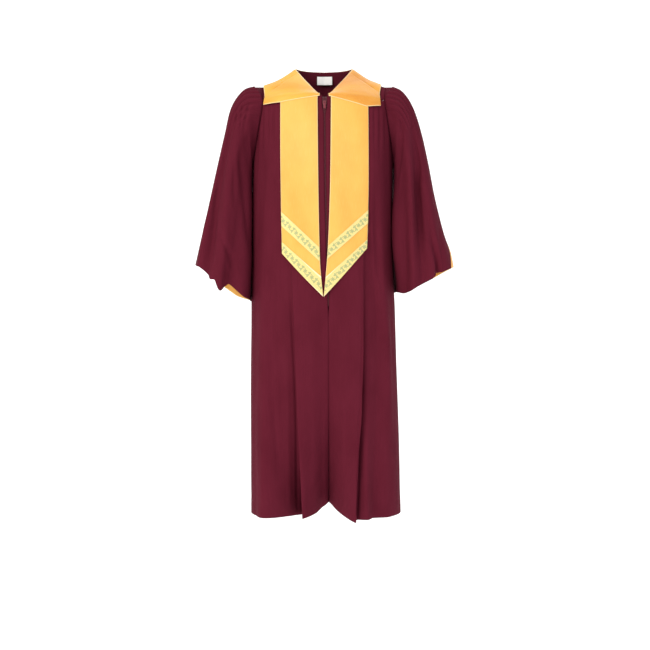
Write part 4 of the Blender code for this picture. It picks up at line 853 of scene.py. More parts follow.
def halfSpokes(frontTop, backTop, sign):
    # neck point, outer point and bulge of each line across half the yoke, from the front round
    up = np.array([0.0, 0.0, yokeGap])
    share = np.linspace(0.0, 1.0, len(frontTop))
    bulge = smoothRun((0.0, 0.5, 1.0), frontBulge, share)[:, None] * np.array([0.0, -1.0, 1.0])
    front = (neckPoint(yokeFrontAround * share, sign), frontTop + up, bulge)
    around = np.linspace(shoulderEdge[0]["around"], shoulderEdge[-1]["around"], yoke["shoulderPoints"])
    edge = [readTable(shoulderEdge, key, around, "around") for key in ("across", "depth", "height")]
    outer = np.stack([sign * edge[0], edge[1], edge[2]], axis=-1)
    shoulder = (neckPoint(around, sign), outer, np.ones((len(around), 1)) * np.array([0.0, 0.0, shoulderDip]))
    share = np.linspace(0.0, 1.0, len(backTop))
    bulge = share[:, None] * np.array([0.0, 1.0, 0.4]) * backBulge
    back = (neckPoint(yokeBackAround + (1 - yokeBackAround) * share, sign), backTop[::-1] + up, bulge)
    return dict(front=front, shoulder=shoulder, back=back)


def joinHalves(halves):
    # the two halves as one fan, from the right closing edge round the back to the left one
    fans = {sign: [np.concatenate([half[key][k] for key in ("front", "shoulder", "back")]) for k in range(3)]
            for sign, half in halves.items()}
    return [np.concatenate([right, left[-2::-1]]) for right, left in zip(fans[-1], fans[1])]


def spokePoints(spokes, share):
    # rows from the neck outwards
    neck, outer, bulge = spokes
    share = np.asarray(share)[:, None, None]
    control = (neck + outer) / 2 + bulge
    return (1 - share) ** 2 * neck + 2 * share * (1 - share) * control + share**2 * outer


def allSpokes(panels):
    halves = {}
    for sign, folds in ((-1, rightFrontFolds), (1, leftFrontFolds)):
        frontCorner = int(np.searchsorted(panelPlaces(folds), cornerPlace(folds)))
        backCorner = int(np.searchsorted(panelPlaces(backFolds), cornerPlace(backFolds)))
        front, back = panels["fronts"][sign][0], panels["backs"][sign][0]
        halves[sign] = halfSpokes(front[:frontCorner + 1], back[:backCorner + 1], sign)
        panels["sides"][sign] = (front[frontCorner:], back[backCorner:])
    return halves


def buildYoke(panels, materials):
    halves = allSpokes(panels)
    grid = spokePoints(joinHalves(halves), np.linspace(0.0, 1.0, yoke["rows"]))
    piece = makeSheet("yoke_cloth", grid, (0, 0.4, 1), yoke["thickness"], materials["gown"], "tb")
    dress(piece, "gown_cloth", "yoke")
    print("yoke")
    return halves


collar = dict(
    thickness=0.0011, yokeRows=24, flapRows=8,
    rise=0.0032, neckRoll=0.0006,
    edgeRiseMiddle=0.0058, edgeRiseSide=0.0084, backEdgeRise=0.0068, cornerRise=0.0016,
    cornerStart=(0.10, 0.14), sideStart=(0.112, 0.135), neckRollShare=0.08, sideLap=0.2,
    rumple=0.0012, rumpleSize=0.06, rumpleEdge=0.03, rollWidth=0.0022, rollDepth=0.0008,
)


def collarEdgeHeight(across, side):
    places, heights = zip(*collarEdges[side])
    return np.interp(across, places, heights)


def reachAt(height, side):
    # how far to the side the collar reaches, from its lower corner up to the shoulder
    reach = collarReach[side]
    top = max(row["height"] for row in shoulderEdge)
    share = np.clip((height - yokeSeamCorner) / (top - yokeSeamCorner), 0.0, 1.0)
    return reach["corner"] + share * (reach["shoulder"] - reach["corner"])


def trimLines(group, start, reach):
    # the same lines moved along the seam, so that they run from the collar's tip to its corner
    across = np.abs(group[1][:, 0])
    order = np.argsort(across)
    wanted = start + (across - across.min()) * (reach - start) / (across.max() - across.min())
    return tuple(np.stack([np.interp(wanted, across[order], part[order, k]) for k in range(3)], axis=1)
                 for part in group)


def sideLines(half, reach):
    # the shoulder's lines, with those in front and behind that lie beyond the collar's corner
    parts = []
    for k in range(3):
        ends = [half[key][k][np.abs(half[key][1][:, 0]) > reach] for key in ("front", "back")]
        parts.append(np.concatenate([ends[0], half["shoulder"][k], ends[1]]))
    return tuple(parts)


def sideShares(group, side):
    # how far along each of these lines the collar's side edge lies
    shares = np.linspace(0.0, 1.0, 101)
    across = np.abs(spokePoints(group, shares)[..., 0])
    reach = reachAt(group[1][:, 2], side)
    return np.array([np.interp(reach[c], across[:, c], shares) for c in range(across.shape[1])])


def buildCollar(halves, materials):
    # lies on the yoke and comes down past its seam in front and behind
    trimmed, ends, marks = {}, {}, {}
    for sign, side in ((-1, "right"), (1, "left")):
        reach, half = collarReach[side]["corner"], halves[sign]
        tip = collarEdges[side][0][0]
        trimmed[sign] = dict(front=trimLines(half["front"], tip, reach), shoulder=sideLines(half, reach),
                             back=trimLines(half["back"], 0.0, reach))
        counts = [len(trimmed[sign][key][0]) for key in ("front", "shoulder", "back")]
        ends[sign] = np.concatenate([np.ones(counts[0]), sideShares(trimmed[sign]["shoulder"], side),
                                     np.ones(counts[2])])
        marks[sign] = np.repeat([0, 1, 0], counts)
    spokes = joinHalves(trimmed)
    ends = np.concatenate([ends[-1], ends[1][-2::-1]])
    onShoulder = np.concatenate([marks[-1], marks[1][-2::-1]]) > 0
    outer = spokes[1]
    shares = np.linspace(0.0, 1.0, collar["yokeRows"])
    rows = np.stack([spokePoints([part[c:c + 1] for part in spokes], shares * ends[c])[:, 0]
                     for c in range(len(outer))], axis=1)
    rise = collar["rise"] - collar["neckRoll"] * np.exp(-shares / collar["neckRollShare"])[:, None]
    corner = collar["cornerRise"] * ease(np.abs(rows[-1, :, 0]), *collar["cornerStart"])
    rise = rise + corner * ease(shares, 0.5, 1.0)[:, None]
    lifted = rows + normalsLike(rows) * rise[..., None]
    side = np.where(rows[-1, :, 1] < 0, 1.0, -1.0)
    across = outer[:, 0]
    share = ease(np.abs(across), *collar["sideStart"])
    edgeHeight = np.where(across < 0, collarEdgeHeight(-across, "right"), collarEdgeHeight(across, "left"))
    frontEdge = onSection(across, edgeHeight, collar["edgeRiseMiddle"]
                          + share * (collar["edgeRiseSide"] - collar["edgeRiseMiddle"]))
    backHeight = outer[:, 2] - collarBackDrop
    backEdge = onSection(across, backHeight, collar["backEdgeRise"], True)
    stripEdge = lifted[-1] + (lifted[-1] - lifted[-2]) * collar["sideLap"]
    edge = np.where(onShoulder[:, None], stripEdge, np.where((side > 0)[:, None], frontEdge, backEdge))
    down = np.linspace(0.0, 1.0, collar["flapRows"] + 1)[1:, None, None]
    flap = lifted[-1] + (edge - lifted[-1]) * down
    grid = np.concatenate([lifted, flap])
    acrossCloth, downCloth = clothLengths(grid)
    fromEdge = np.minimum(downCloth, downCloth[-1:] - downCloth)
    out = collar["rumple"] * rumple(grid[..., 0], grid[..., 2] + grid[..., 1], collar["rumpleSize"], 5.0)
    out = out * ease(fromEdge, 0.0, collar["rumpleEdge"])
    out = out - collar["rollDepth"] * np.clip(1 - fromEdge / collar["rollWidth"], 0.0, 1.0) ** 2
    grid = grid + normalsLike(grid) * out[..., None]
    piece = makeSheet("collar_satin", grid, (0, 0.4, 1), collar["thickness"], materials["collar"], "tblr")
    dress(piece, "gold_satin", "collar")
    print("collar")


def normalsLike(grid):
    # the sheet's normals, upward at the middle of the back
    normals = gridNormals(grid)
    return normals * np.sign(normals[grid.shape[0] // 2, grid.shape[1] // 2, 2])


neckLabel = dict(right=-0.0193, left=0.0231, top=0.112, below=0.30, drop=0.024, bow=0.0012,
                 columns=25, rows=17, inset=0.0020, thickness=0.0005, reach=40)


def buildLabel(halves, materials):
    # woven label sewn to the back neck by its top edge, hanging straight down; its face is left bare
    spec = neckLabel
    fan = spokePoints(joinHalves(halves), [spec["top"], spec["below"]])
    middle = int(np.argmin(np.abs(fan[0, :, 0]) + (fan[0, :, 1] < 0)))
    near = fan[:, middle - spec["reach"]:middle + spec["reach"] + 1]
    top = moveOut(near, -spec["inset"] * np.ones(near.shape[:2]), (0, 0.7, 0.7))[0]
    top = top[np.argsort(top[:, 0])]
    across = np.linspace(spec["right"], spec["left"], spec["columns"])
    edge = np.stack([across] + [np.interp(across, top[:, 0], top[:, k]) for k in (1, 2)], axis=1)
    down = np.linspace(0.0, 1.0, spec["rows"])[:, None, None]
    grid = edge[None] - down * np.array([0.0, 0.0, spec["drop"]])
    grid = grid - np.sin(down * np.pi / 2) * np.array([0.0, spec["bow"], 0.0])
    piece = makeSheet("label_cloth", grid, (0, -1, 0), spec["thickness"], materials["label"])
    dress(piece, "label_cloth", "label")
    print("label")


# Stole and its brocade bands

# Stole on each front: its two long edges, the point and the outer corner of its slanted end
stoleLevels = (
    dict(height=-0.10, rightInner=0.0169, rightOuter=0.1153, leftInner=0.0185, leftOuter=0.1169),
    dict(height=-0.30, rightInner=0.0150, rightOuter=0.1130, leftInner=0.0165, leftOuter=0.1165),
    dict(height=-0.45, rightInner=0.0125, rightOuter=0.1105, leftInner=0.0125, leftOuter=0.1140),
    dict(height=-0.54, rightInner=0.0100, rightOuter=0.1085, leftInner=0.0075, leftOuter=0.1100),
    dict(height=-0.632, rightInner=0.0017, rightOuter=0.1070, leftInner=-0.0007, leftOuter=0.1080),
)
stoleEnds = dict(
    right=dict(point=-0.6300, corner=-0.5170),
    left=dict(point=-0.6300, corner=-0.5030),
)
stoleRise = 0.0038
# Brocade bands: heights of the upper and lower edge at the inner and outer side of the stole
bands = (
    dict(side="right", name="upper", innerTop=-0.5020, innerLow=-0.5390,
         outerTop=-0.4070, outerLow=-0.4450),
    dict(side="right", name="lower", innerTop=-0.5770, innerLow=-0.6300,
         outerTop=-0.4860, outerLow=-0.5170),
    dict(side="left", name="upper", innerTop=-0.4980, innerLow=-0.5330,
         outerTop=-0.4020, outerLow=-0.4370),
    dict(side="left", name="lower", innerTop=-0.5790, innerLow=-0.6300,
         outerTop=-0.4790, outerLow=-0.5030),
)
stole = dict(
    thickness=0.0012, rows=190, columns=40, tuck=0.006, tuckDrop=0.0022,
    rumple=0.0009, rumpleSize=0.05, rumpleStretch=2.5, lowestWave=-0.3, wavesBelow=(0.12, 0.24),
    rollWidth=0.0020, rollDepth=0.0007,
)


def stoleEdges(side, height):
    return readTable(stoleLevels, side + "Inner", height), readTable(stoleLevels, side + "Outer", height)


def stoleSurface(side, across, height):
    # how far the stole stands off the smooth front: flat cloth with long soft waves
    sign = 1.0 if side == "left" else -1.0
    waves = rumple(across, height, stole["rumpleSize"], 17.0 + sign, stole["rumpleStretch"])
    fall = ease(-height, *stole["wavesBelow"])
    edge = collarEdgeHeight(across, side)
    tucked = ease(height, edge, edge + stole["tuck"])
    waves = np.maximum(waves, stole["lowestWave"])
    return stoleRise + stole["rumple"] * waves * fall - stole["tuckDrop"] * tucked


def buildStole(side, materials):
    ends = stoleEnds[side]
    share = np.linspace(0.0, 1.0, stole["columns"])[None, :]
    down = np.linspace(0.0, 1.0, stole["rows"])[:, None]
    inner, outer = stoleEdges(side, np.array(yokeSeamCorner))
    top = collarEdgeHeight(inner + share * (outer - inner), side) + stole["tuck"]
    low = ends["point"] + share * (ends["corner"] - ends["point"])
    height = top + (low - top) * down
    inner, outer = stoleEdges(side, height)
    across = inner + share * (outer - inner)
    sign = 1 if side == "left" else -1
    rise = stoleSurface(side, across, height)
    grid = onSection(across * sign, height, rise)
    acrossCloth, downCloth = clothLengths(grid)
    gap = np.minimum(np.minimum(acrossCloth, acrossCloth[:, -1:] - acrossCloth), downCloth[-1:] - downCloth)
    roll = stole["rollDepth"] * np.clip(1 - gap / stole["rollWidth"], 0.0, 1.0) ** 2
    grid = moveOut(grid, -roll, (0, -1, 0))
    piece = makeSheet("stole_" + side + "_satin", grid, (0, -1, 0), stole["thickness"],
                      materials["satin"], "blr")
    dress(piece, "gold_satin", "stole_" + side)
    print("stole", side)


band = dict(thickness=0.0007, rise=0.0014, along=90, across=26, inset=0.0006)


def buildBand(row, materials):
    side, name = row["side"], row["name"]
    sign = 1 if side == "left" else -1
    share = np.linspace(0.0, 1.0, band["along"])[None, :]
    down = np.linspace(0.0, 1.0, band["across"])[:, None]
    top = row["innerTop"] + share * (row["outerTop"] - row["innerTop"])
    low = row["innerLow"] + share * (row["outerLow"] - row["innerLow"])
    height = top + (low - top) * down
    inner, outer = stoleEdges(side, height)
    across = inner + band["inset"] + share * (outer - inner - 2 * band["inset"])
    rise = stoleSurface(side, across, height) + band["rise"]
    grid = onSection(across * sign, height, rise)
    piece = makeSheet("band_" + name + "_" + side + "_brocade", grid, (0, -1, 0), 0.0,
                      materials["brocade"], "tb")
    markBand(piece)
    thicken(piece, band["thickness"])
    dress(piece, "brocade", "band_" + name + "_" + side)


def markBand(piece):
    # how far each point is along the band and from the band's middle line, for its pattern
    count = band["along"] * band["across"]
    points = np.empty(count * 3, np.float32)
    piece.data.vertices.foreach_get("co", points)
    grid = points.reshape(band["across"], band["along"], 3).astype(float)
    middle = grid[band["across"] // 2]
    along = np.concatenate([[0.0], np.cumsum(np.linalg.norm(np.diff(middle, axis=0), axis=1))])
    step = np.gradient(middle, axis=0)
    step /= np.linalg.norm(step, axis=1, keepdims=True)
    away = grid - middle[None]
    skew = np.einsum("rck,ck->rc", away, step)
    high = np.linalg.norm(away - skew[..., None] * step[None], axis=2)
    high *= np.sign(np.arange(band["across"]) - band["across"] // 2)[:, None]
    for key, values in (("bandAlong", along[None] + skew), ("bandAcross", high)):
        layer = piece.data.attributes.new(key, "FLOAT", "POINT")
        layer.data.foreach_set("value", np.ascontiguousarray(values, np.float32).ravel())


# Sleeves and gores

# Sleeve stations from the armhole to the hem. The outer point follows the top of the arm, the
# inner one the side of the gown, and depth is half the sleeve from front to back.
rightSleeveStations = (
    dict(along=0.00, outer=(0.1670, -0.0510), inner=(0.1870, -0.2750), depth=0.070, forward=0.002),
    dict(along=0.05, outer=(0.1880, -0.0540), inner=(0.1930, -0.2850), depth=0.072, forward=0.002),
    dict(along=0.11, outer=(0.2120, -0.0600), inner=(0.1945, -0.3000), depth=0.075, forward=0.001),
    dict(along=0.17, outer=(0.2350, -0.0800), inner=(0.1950, -0.3200), depth=0.079, forward=0.000),
    dict(along=0.25, outer=(0.2550, -0.1150), inner=(0.1950, -0.3450), depth=0.084, forward=-0.002),
    dict(along=0.36, outer=(0.2715, -0.1800), inner=(0.1950, -0.3850), depth=0.089, forward=-0.004),
    dict(along=0.50, outer=(0.2905, -0.2650), inner=(0.1950, -0.4400), depth=0.095, forward=-0.007),
    dict(along=0.66, outer=(0.3120, -0.3620), inner=(0.1950, -0.5000), depth=0.101, forward=-0.010),
    dict(along=0.82, outer=(0.3325, -0.4550), inner=(0.1980, -0.5650), depth=0.106, forward=-0.012),
    dict(along=0.92, outer=(0.3440, -0.5080), inner=(0.2000, -0.6080), depth=0.108, forward=-0.013),
    dict(along=1.00, outer=(0.3510, -0.5400), inner=(0.2010, -0.6400), depth=0.108, forward=-0.013),
)
leftSleeveStations = (
    dict(along=0.00, outer=(0.1670, -0.0510), inner=(0.1840, -0.2750), depth=0.070, forward=0.002),
    dict(along=0.05, outer=(0.1830, -0.0550), inner=(0.1900, -0.2850), depth=0.072, forward=0.002),
    dict(along=0.11, outer=(0.2080, -0.0660), inner=(0.1910, -0.3000), depth=0.075, forward=0.001),
    dict(along=0.17, outer=(0.2270, -0.0860), inner=(0.1915, -0.3200), depth=0.079, forward=0.000),
    dict(along=0.25, outer=(0.2465, -0.1230), inner=(0.1915, -0.3450), depth=0.084, forward=-0.002),
    dict(along=0.36, outer=(0.2650, -0.1850), inner=(0.1915, -0.3850), depth=0.089, forward=-0.004),
    dict(along=0.50, outer=(0.2830, -0.2700), inner=(0.1915, -0.4400), depth=0.095, forward=-0.007),
    dict(along=0.66, outer=(0.3015, -0.3640), inner=(0.1915, -0.5000), depth=0.101, forward=-0.010),
    dict(along=0.82, outer=(0.3240, -0.4580), inner=(0.1935, -0.5600), depth=0.106, forward=-0.012),
    dict(along=0.92, outer=(0.3425, -0.5120), inner=(0.1960, -0.6020), depth=0.108, forward=-0.013),
    dict(along=1.00, outer=(0.3490, -0.5480), inner=(0.1970, -0.6330), depth=0.108, forward=-0.013),
)
# Sleeve folds round the sleeve, in degrees from the outer edge through the front, at the armhole,
# upper arm, elbow and hem. Out is how far a line stands off the sleeve's round section there.
sleeveFoldStations = (0.0, 0.20, 0.55, 1.0)
rightSleeveFolds = (
    dict(around=(0, 0, 0, 0), drop=0.000, out=(0.0, 0.0, 0.000, 0.000)),
    dict(around=(22, 22, 24, 26), drop=0.000, out=(0.0, -0.002, -0.003, -0.004)),
    dict(around=(42, 40, 38, 46), drop=-0.004, out=(0.0, 0.003, 0.006, 0.006)),
    dict(around=(58, 56, 55, 65), drop=0.001, out=(0.0, -0.003, -0.009, -0.010)),
    dict(around=(68, 66, 66, 73), drop=0.009, out=(0.0, 0.000, -0.002, -0.003)),
    dict(around=(79, 77, 76, 83), drop=0.003, out=(0.0, 0.002, 0.002, 0.002)),
    dict(around=(91, 88, 86, 91), drop=0.022, out=(0.0, 0.002, 0.004, 0.008)),
    dict(around=(104, 101, 99, 101), drop=0.002, out=(0.0, -0.003, 0.000, -0.006)),
    dict(around=(117, 115, 112, 113), drop=-0.011, out=(0.0, -0.005, -0.005, -0.012)),
    dict(around=(142, 142, 142, 142), drop=-0.001, out=(0.0, 0.003, 0.003, 0.004)),
    dict(around=(180, 180, 180, 180), drop=-0.003, out=(0.0, 0.0, 0.000, 0.000)),
    dict(around=(214, 214, 214, 214), drop=0.004, out=(0.0, 0.003, 0.002, 0.004)),
    dict(around=(236, 236, 236, 236), drop=0.012, out=(0.0, -0.002, -0.004, -0.006)),
    dict(around=(250, 250, 250, 250), drop=0.014, out=(0.0, -0.003, -0.006, -0.006)),
    dict(around=(274, 274, 274, 274), drop=0.012, out=(0.0, 0.003, 0.005, 0.006)),
    dict(around=(300, 300, 300, 300), drop=0.004, out=(0.0, -0.004, -0.008, -0.014)),
    dict(around=(328, 328, 328, 328), drop=0.001, out=(0.0, 0.003, 0.004, 0.008)),
    dict(around=(360, 360, 360, 360), drop=0.000, out=(0.0, 0.0, 0.000, 0.000)),
)
leftSleeveFolds = (
    dict(around=(0, 0, 0, 0), drop=0.000, out=(0.0, 0.0, 0.002, 0.003)),
    dict(around=(20, 16, 22, 28), drop=0.000, out=(0.0, 0.002, 0.004, 0.004)),
    dict(around=(34, 30, 38, 48), drop=-0.002, out=(0.0, 0.001, 0.004, 0.006)),
    dict(around=(44, 38, 50, 62), drop=-0.004, out=(0.0, -0.002, 0.000, 0.005)),
    dict(around=(53, 46, 58, 70), drop=-0.010, out=(0.0, -0.003, -0.004, -0.014)),
    dict(around=(63, 54, 67, 80), drop=-0.003, out=(0.0, -0.003, -0.012, 0.002)),
    dict(around=(77, 64, 80, 101), drop=-0.003, out=(0.0, -0.005, -0.022, -0.012)),
    dict(around=(97, 90, 99, 118), drop=-0.001, out=(0.0, 0.004, 0.006, 0.006)),
    dict(around=(117, 115, 119, 136), drop=-0.002, out=(0.0, -0.003, -0.003, -0.002)),
    dict(around=(142, 144, 143, 157), drop=-0.014, out=(0.0, 0.003, 0.003, 0.002)),
    dict(around=(180, 180, 180, 180), drop=-0.020, out=(0.0, 0.0, 0.000, 0.000)),
    dict(around=(216, 216, 216, 216), drop=-0.014, out=(0.0, 0.003, 0.002, 0.004)),
    dict(around=(244, 244, 244, 244), drop=-0.004, out=(0.0, -0.004, -0.007, -0.012)),
    dict(around=(270, 270, 270, 270), drop=0.001, out=(0.0, 0.003, 0.005, 0.008)),
    dict(around=(298, 298, 298, 298), drop=0.002, out=(0.0, -0.004, -0.006, -0.008)),
    dict(around=(328, 328, 328, 328), drop=0.001, out=(0.0, 0.002, 0.003, 0.002)),
    dict(around=(360, 360, 360, 360), drop=0.000, out=(0.0, 0.0, 0.002, 0.003)),
)
# Where a sleeve's cloth is pushed in towards the gown, in front of its side or behind it: the
# amount at each of the fold stations
sleeveTucks = dict(
    right=(dict(around=150.0, reach=32.0, across=(0.0, 0.002, 0.006, 0.004)),
           dict(around=220.0, reach=36.0, across=(0.0, 0.002, 0.012, 0.012))),
    left=(dict(around=150.0, reach=32.0, across=(0.0, 0.004, 0.013, 0.002)),
          dict(around=218.0, reach=36.0, across=(0.0, 0.002, 0.012, 0.010))),
)
sleeveRoundness = 2 / 2.2
hemDropStart = 0.55
# Sleeve angles that meet the armhole seam: over the shoulder, at the yoke's corner, underarm
shoulderAngles = [0.0, 16.0, 31.0, 44.0]
cornerAngle = 56.0
underarmAngle = 180.0
armholeGap = 0.0007
shoulderSteps = 61
flutes = dict(count=17, height=0.0058, spread=82.0, ease=16.0, peak=0.05, fade=0.20)
headBlend = 0.10
# Gold gore let into each sleeve, widening to the hem
goreTop = 0.64
gores = dict(
    right=dict(middle=250.0, halfWidth=36.0, reach=70.0),
    left=dict(middle=352.0, halfWidth=44.0, reach=88.0),
)
sleeveStations = dict(right=rightSleeveStations, left=leftSleeveStations)
sleeveFolds = dict(right=rightSleeveFolds, left=leftSleeveFolds)
gorePoint = 0.01
goreOpens = (0.64, 0.80)
gorePull = dict(right=0.0, left=0.0080)
gorePullReach = 16.0
sleeveClearance = 0.0035
sleeveForm = dict(
    thickness=0.0008, rows=136, columns=288, fluteSharp=0.75,
    rumple=0.0012, rumpleSize=0.05, rumpleStretch=3.0,
    hemGroove=0.0004, hemDepth=0.016, hemSoftness=0.0014, weld=0.00002, rowBias=1.15, radius=0.11,
    facesFront=(-0.2, 0.3), calmBelowSeam=0.05, topEase=0.006, splitStart=0.06, besideSplit=(0.008, 0.036),
)
rightSleeveCreases = (
    dict(path=((-200, -104), (-205, -136), (-213, -171), (-213, -205)),
         depth=-3.0, width=4.0, ends=(0.1, 0.5)),
    dict(path=((-218, -110), (-221, -158), (-223, -200)), depth=-2.4, width=3.5, ends=(0.1, 0.6)),
    dict(path=((-232, -120), (-236, -163), (-240, -205)), depth=-2.2, width=3.5, ends=(0.1, 0.6)),
    dict(path=((-225, -200), (-223, -250), (-216, -320), (-203, -445), (-192, -540)),
         depth=-4.9, width=8.0, ends=(0.25, 0.3)),
    dict(path=((-279, -290), (-290, -408), (-296, -560)), depth=-4.9, width=8.0, ends=(0.3, 0.2)),
    dict(path=((-284, -440), (-262, -490), (-247, -520), (-234, -575)),
         depth=-4.3, width=7.0, ends=(0.3, 0.3)),
    dict(path=((-248, -210), (-255, -330), (-262, -440), (-258, -530)),
         depth=3.5, width=10.0, ends=(0.3, 0.3)),
    dict(path=((-305, -400), (-318, -480), (-326, -550)), depth=2.7, width=8.0, ends=(0.4, 0.2)),
    dict(path=((-236, -240), (-238, -330), (-232, -430)), depth=-2.7, width=6.0, ends=(0.4, 0.5)),
)
leftSleeveCreases = (
    dict(path=((208, -140), (208, -224), (203, -285), (197, -345)), depth=-4.1, width=6.0, ends=(0.15, 0.4)),
    dict(path=((215, -165), (209, -250), (199, -360)), depth=2.7, width=5.0, ends=(0.3, 0.4)),
    dict(path=((231, -130), (235, -160), (243, -198), (251, -250), (252, -290), (249, -330), (255, -435),
               (260, -530)), depth=-5.7, width=7.0, ends=(0.15, 0.25)),
    dict(path=((266, -220), (272, -320), (283, -430), (292, -540)), depth=3.2, width=10.0, ends=(0.3, 0.2)),
    dict(path=((221, -300), (226, -420), (230, -560)), depth=2.7, width=9.0, ends=(0.3, 0.3)),
    dict(path=((300, -400), (310, -480), (314, -570)), depth=-3.5, width=7.0, ends=(0.4, 0.1)),
    dict(path=((208, -430), (214, -520), (216, -600)), depth=-3.2, width=7.0, ends=(0.4, 0.2)),
)
# The backs of both sleeves, measured outwards from the middle
backSleeveCreases = (
    dict(path=((205, -110), (212, -200), (214, -330)), depth=-2.6, width=6.0, ends=(0.15, 0.5)),
    dict(path=((232, -130), (248, -260), (262, -400), (268, -580)), depth=-3.6, width=8.0, ends=(0.2, 0.3)),
    dict(path=((222, -260), (228, -430), (222, -610)), depth=2.6, width=9.0, ends=(0.3, 0.3)),
    dict(path=((280, -300), (296, -440), (306, -560)), depth=2.2, width=9.0, ends=(0.3, 0.2)),
)


def stationValue(stations, key, along, item=None):
    values = [row[key] if item is None else row[key][item] for row in stations]
    return smoothRun([row["along"] for row in stations], values, along)


def sleeveSection(stations, along, around, sign, out):
    outer = np.stack([stationValue(stations, "outer", along, i) for i in (0, 1)], axis=-1)
    inner = np.stack([stationValue(stations, "inner", along, i) for i in (0, 1)], axis=-1)
    depth = stationValue(stations, "depth", along)
    middle, reach = (outer + inner) / 2, (outer - inner) / 2
    half = np.linalg.norm(reach, axis=-1)
    flat_, deep = np.cos(np.radians(around)), -np.sin(np.radians(around))
    local = [np.sign(part) * np.abs(part) ** sleeveRoundness for part in (flat_, deep)]
    normal = [local[0] / half, local[1] / depth]
    length = np.maximum(np.hypot(*normal), 1e-9)
    across = middle + reach / half[..., None] * (local[0] * half + normal[0] / length * out)[..., None]
    forward = stationValue(stations, "forward", along) + local[1] * depth + normal[1] / length * out
    return np.stack([sign * across[..., 0], forward, across[..., 1]], axis=-1)


def keepOffGown(points, sign):
    width, front, back, square = torsoAt(points[..., 2], np.full(points.shape[:-1], sign))
    depth = np.where(points[..., 1] < 0, front, back)
    share = np.clip(np.abs(points[..., 1]) / depth, 0.0, 1.0)
    side = width * (1.0 - share**square) ** (1 / square) + sleeveClearance
    moved = points.copy()
    moved[..., 0] = sign * np.maximum(sign * points[..., 0], side)
    return moved


def armholeLoop(frontSide, backSide, sign):
    rows = shoulderEdge
    fine = np.linspace(0.0, len(rows) - 1.0, shoulderSteps)
    edge = [smoothRun(range(len(rows)), [row[key] for row in rows], fine)
            for key in ("across", "depth", "height")]
    shoulder = np.stack([sign * edge[0], edge[1], edge[2]], axis=-1)
    knots = list(shoulderAngles[::-1]) + [-angle for angle in shoulderAngles[1:]]
    turned = np.interp(fine, range(len(rows)), knots)
    angles = [turned, np.linspace(cornerAngle, underarmAngle, len(frontSide)),
              np.linspace(underarmAngle, 360.0 - cornerAngle, len(backSide))[1:]]
    points = [shoulder, frontSide, backSide[-2::-1]]
    angles, points = np.concatenate(angles) % 360.0, np.concatenate(points)
    order = np.argsort(angles)
    angles, points = angles[order], points[order]
    angles = np.concatenate([angles[-1:] - 360.0, angles, angles[:1] + 360.0])
    return angles, np.concatenate([points[-1:], points, points[:1]])


def fluteHeight(along, around):
    # the rounded pipes drawn up round the sleeve head
    fromTop = np.minimum(around, 360.0 - around)
    turn = 0.5 * np.pi * flutes["count"] * fromTop / flutes["spread"]
    wave = np.abs(np.sin(turn)) ** sleeveForm["fluteSharp"]
    edge = np.clip((flutes["spread"] - fromTop) / flutes["ease"], 0.0, 1.0)
    return flutes["height"] * wave * edge * swell(along, flutes["peak"], flutes["fade"])


def alongFolds(folds, along, around):
    # how far the folds stand out and drop, row by row, for their lines turn round the sleeve
    rows, turns = np.atleast_2d(along), np.atleast_2d(around)
    out, drop = np.empty(rows.shape), np.empty(rows.shape)
    for r, row in enumerate(rows):
        knots = [float(smoothRun(sleeveFoldStations, fold["around"], row[0])) for fold in folds]
        levels = [float(smoothRun(sleeveFoldStations, fold["out"], row[0])) for fold in folds]
        out[r] = smoothRun(knots, levels, turns[r])
        drop[r] = smoothRun(knots, [fold["drop"] for fold in folds], turns[r])
    return out.reshape(along.shape), drop.reshape(along.shape)


def tuckDepth(side, along, around):
    # how far the sleeve's cloth is pushed in towards the gown
    depth = np.zeros(along.shape)
    for tuck in sleeveTucks[side]:
        share = np.minimum(np.abs(around - tuck["around"]) / tuck["reach"], 1.0)
        amount = smoothRun(sleeveFoldStations, tuck["across"], along)
        depth += amount * (0.5 + 0.5 * np.cos(np.pi * share))
    return depth


def edgePull(side, along, around):
    # the split's back edge draws in a little, so that the gold wedge shows beyond it
    edge = gores[side]["middle"] - goreHalfWidth(side, along)
    away = np.minimum((around - edge) % 360.0, (edge - around) % 360.0)
    return gorePull[side] * np.exp(-((away / gorePullReach) ** 2)) * ease(along, *goreOpens)


def sleevePoints(sleeve, along, around, inset=0.0):
    along, around = np.broadcast_arrays(np.asarray(along, float), np.asarray(around, float) % 360.0)
    out, drop = alongFolds(sleeve["folds"], along, around)
    out = out + fluteHeight(along, around) - edgePull(sleeve["side"], along, around) - inset
    points = sleeveSection(sleeve["stations"], along, around, sleeve["sign"], out)
    points[..., 0] -= sleeve["sign"] * tuckDepth(sleeve["side"], along, around)
    points[..., 2] -= drop * np.maximum((along - hemDropStart) / (1.0 - hemDropStart), 0.0)
    angles, loop = sleeve["loop"]
    seam = np.stack([np.interp(around, angles, loop[:, k]) for k in range(3)], axis=-1)
    seam[..., 0] += sleeve["sign"] * armholeGap
    blend = ease(along, 0.0, headBlend)[..., None]
    none = np.zeros(along.shape)
    start = sleeveSection(sleeve["stations"], none, around, sleeve["sign"], none)
    points = points + (1 - blend) * (seam - start)
    kept = keepOffGown(points, sleeve["sign"])
    return np.where((along > 0)[..., None], kept, seam)


def goreHalfWidth(side, along):
    return gores[side]["halfWidth"] * np.maximum((along - goreTop) / (1 - goreTop), 0.0)


def besideGore(side, along, around):
    # moves an angle clear of the gore, and less so further from it
    gore = gores[side]
    width = goreHalfWidth(side, along)
    squeeze = (gore["reach"] - width) / gore["reach"]
    start, end = gore["middle"], gore["middle"] + 360.0
    low = start + width + (around - start) * squeeze
    high = end - width - (end - around) * squeeze
    return np.where(around - start < gore["reach"], low, np.where(end - around < gore["reach"], high, around))


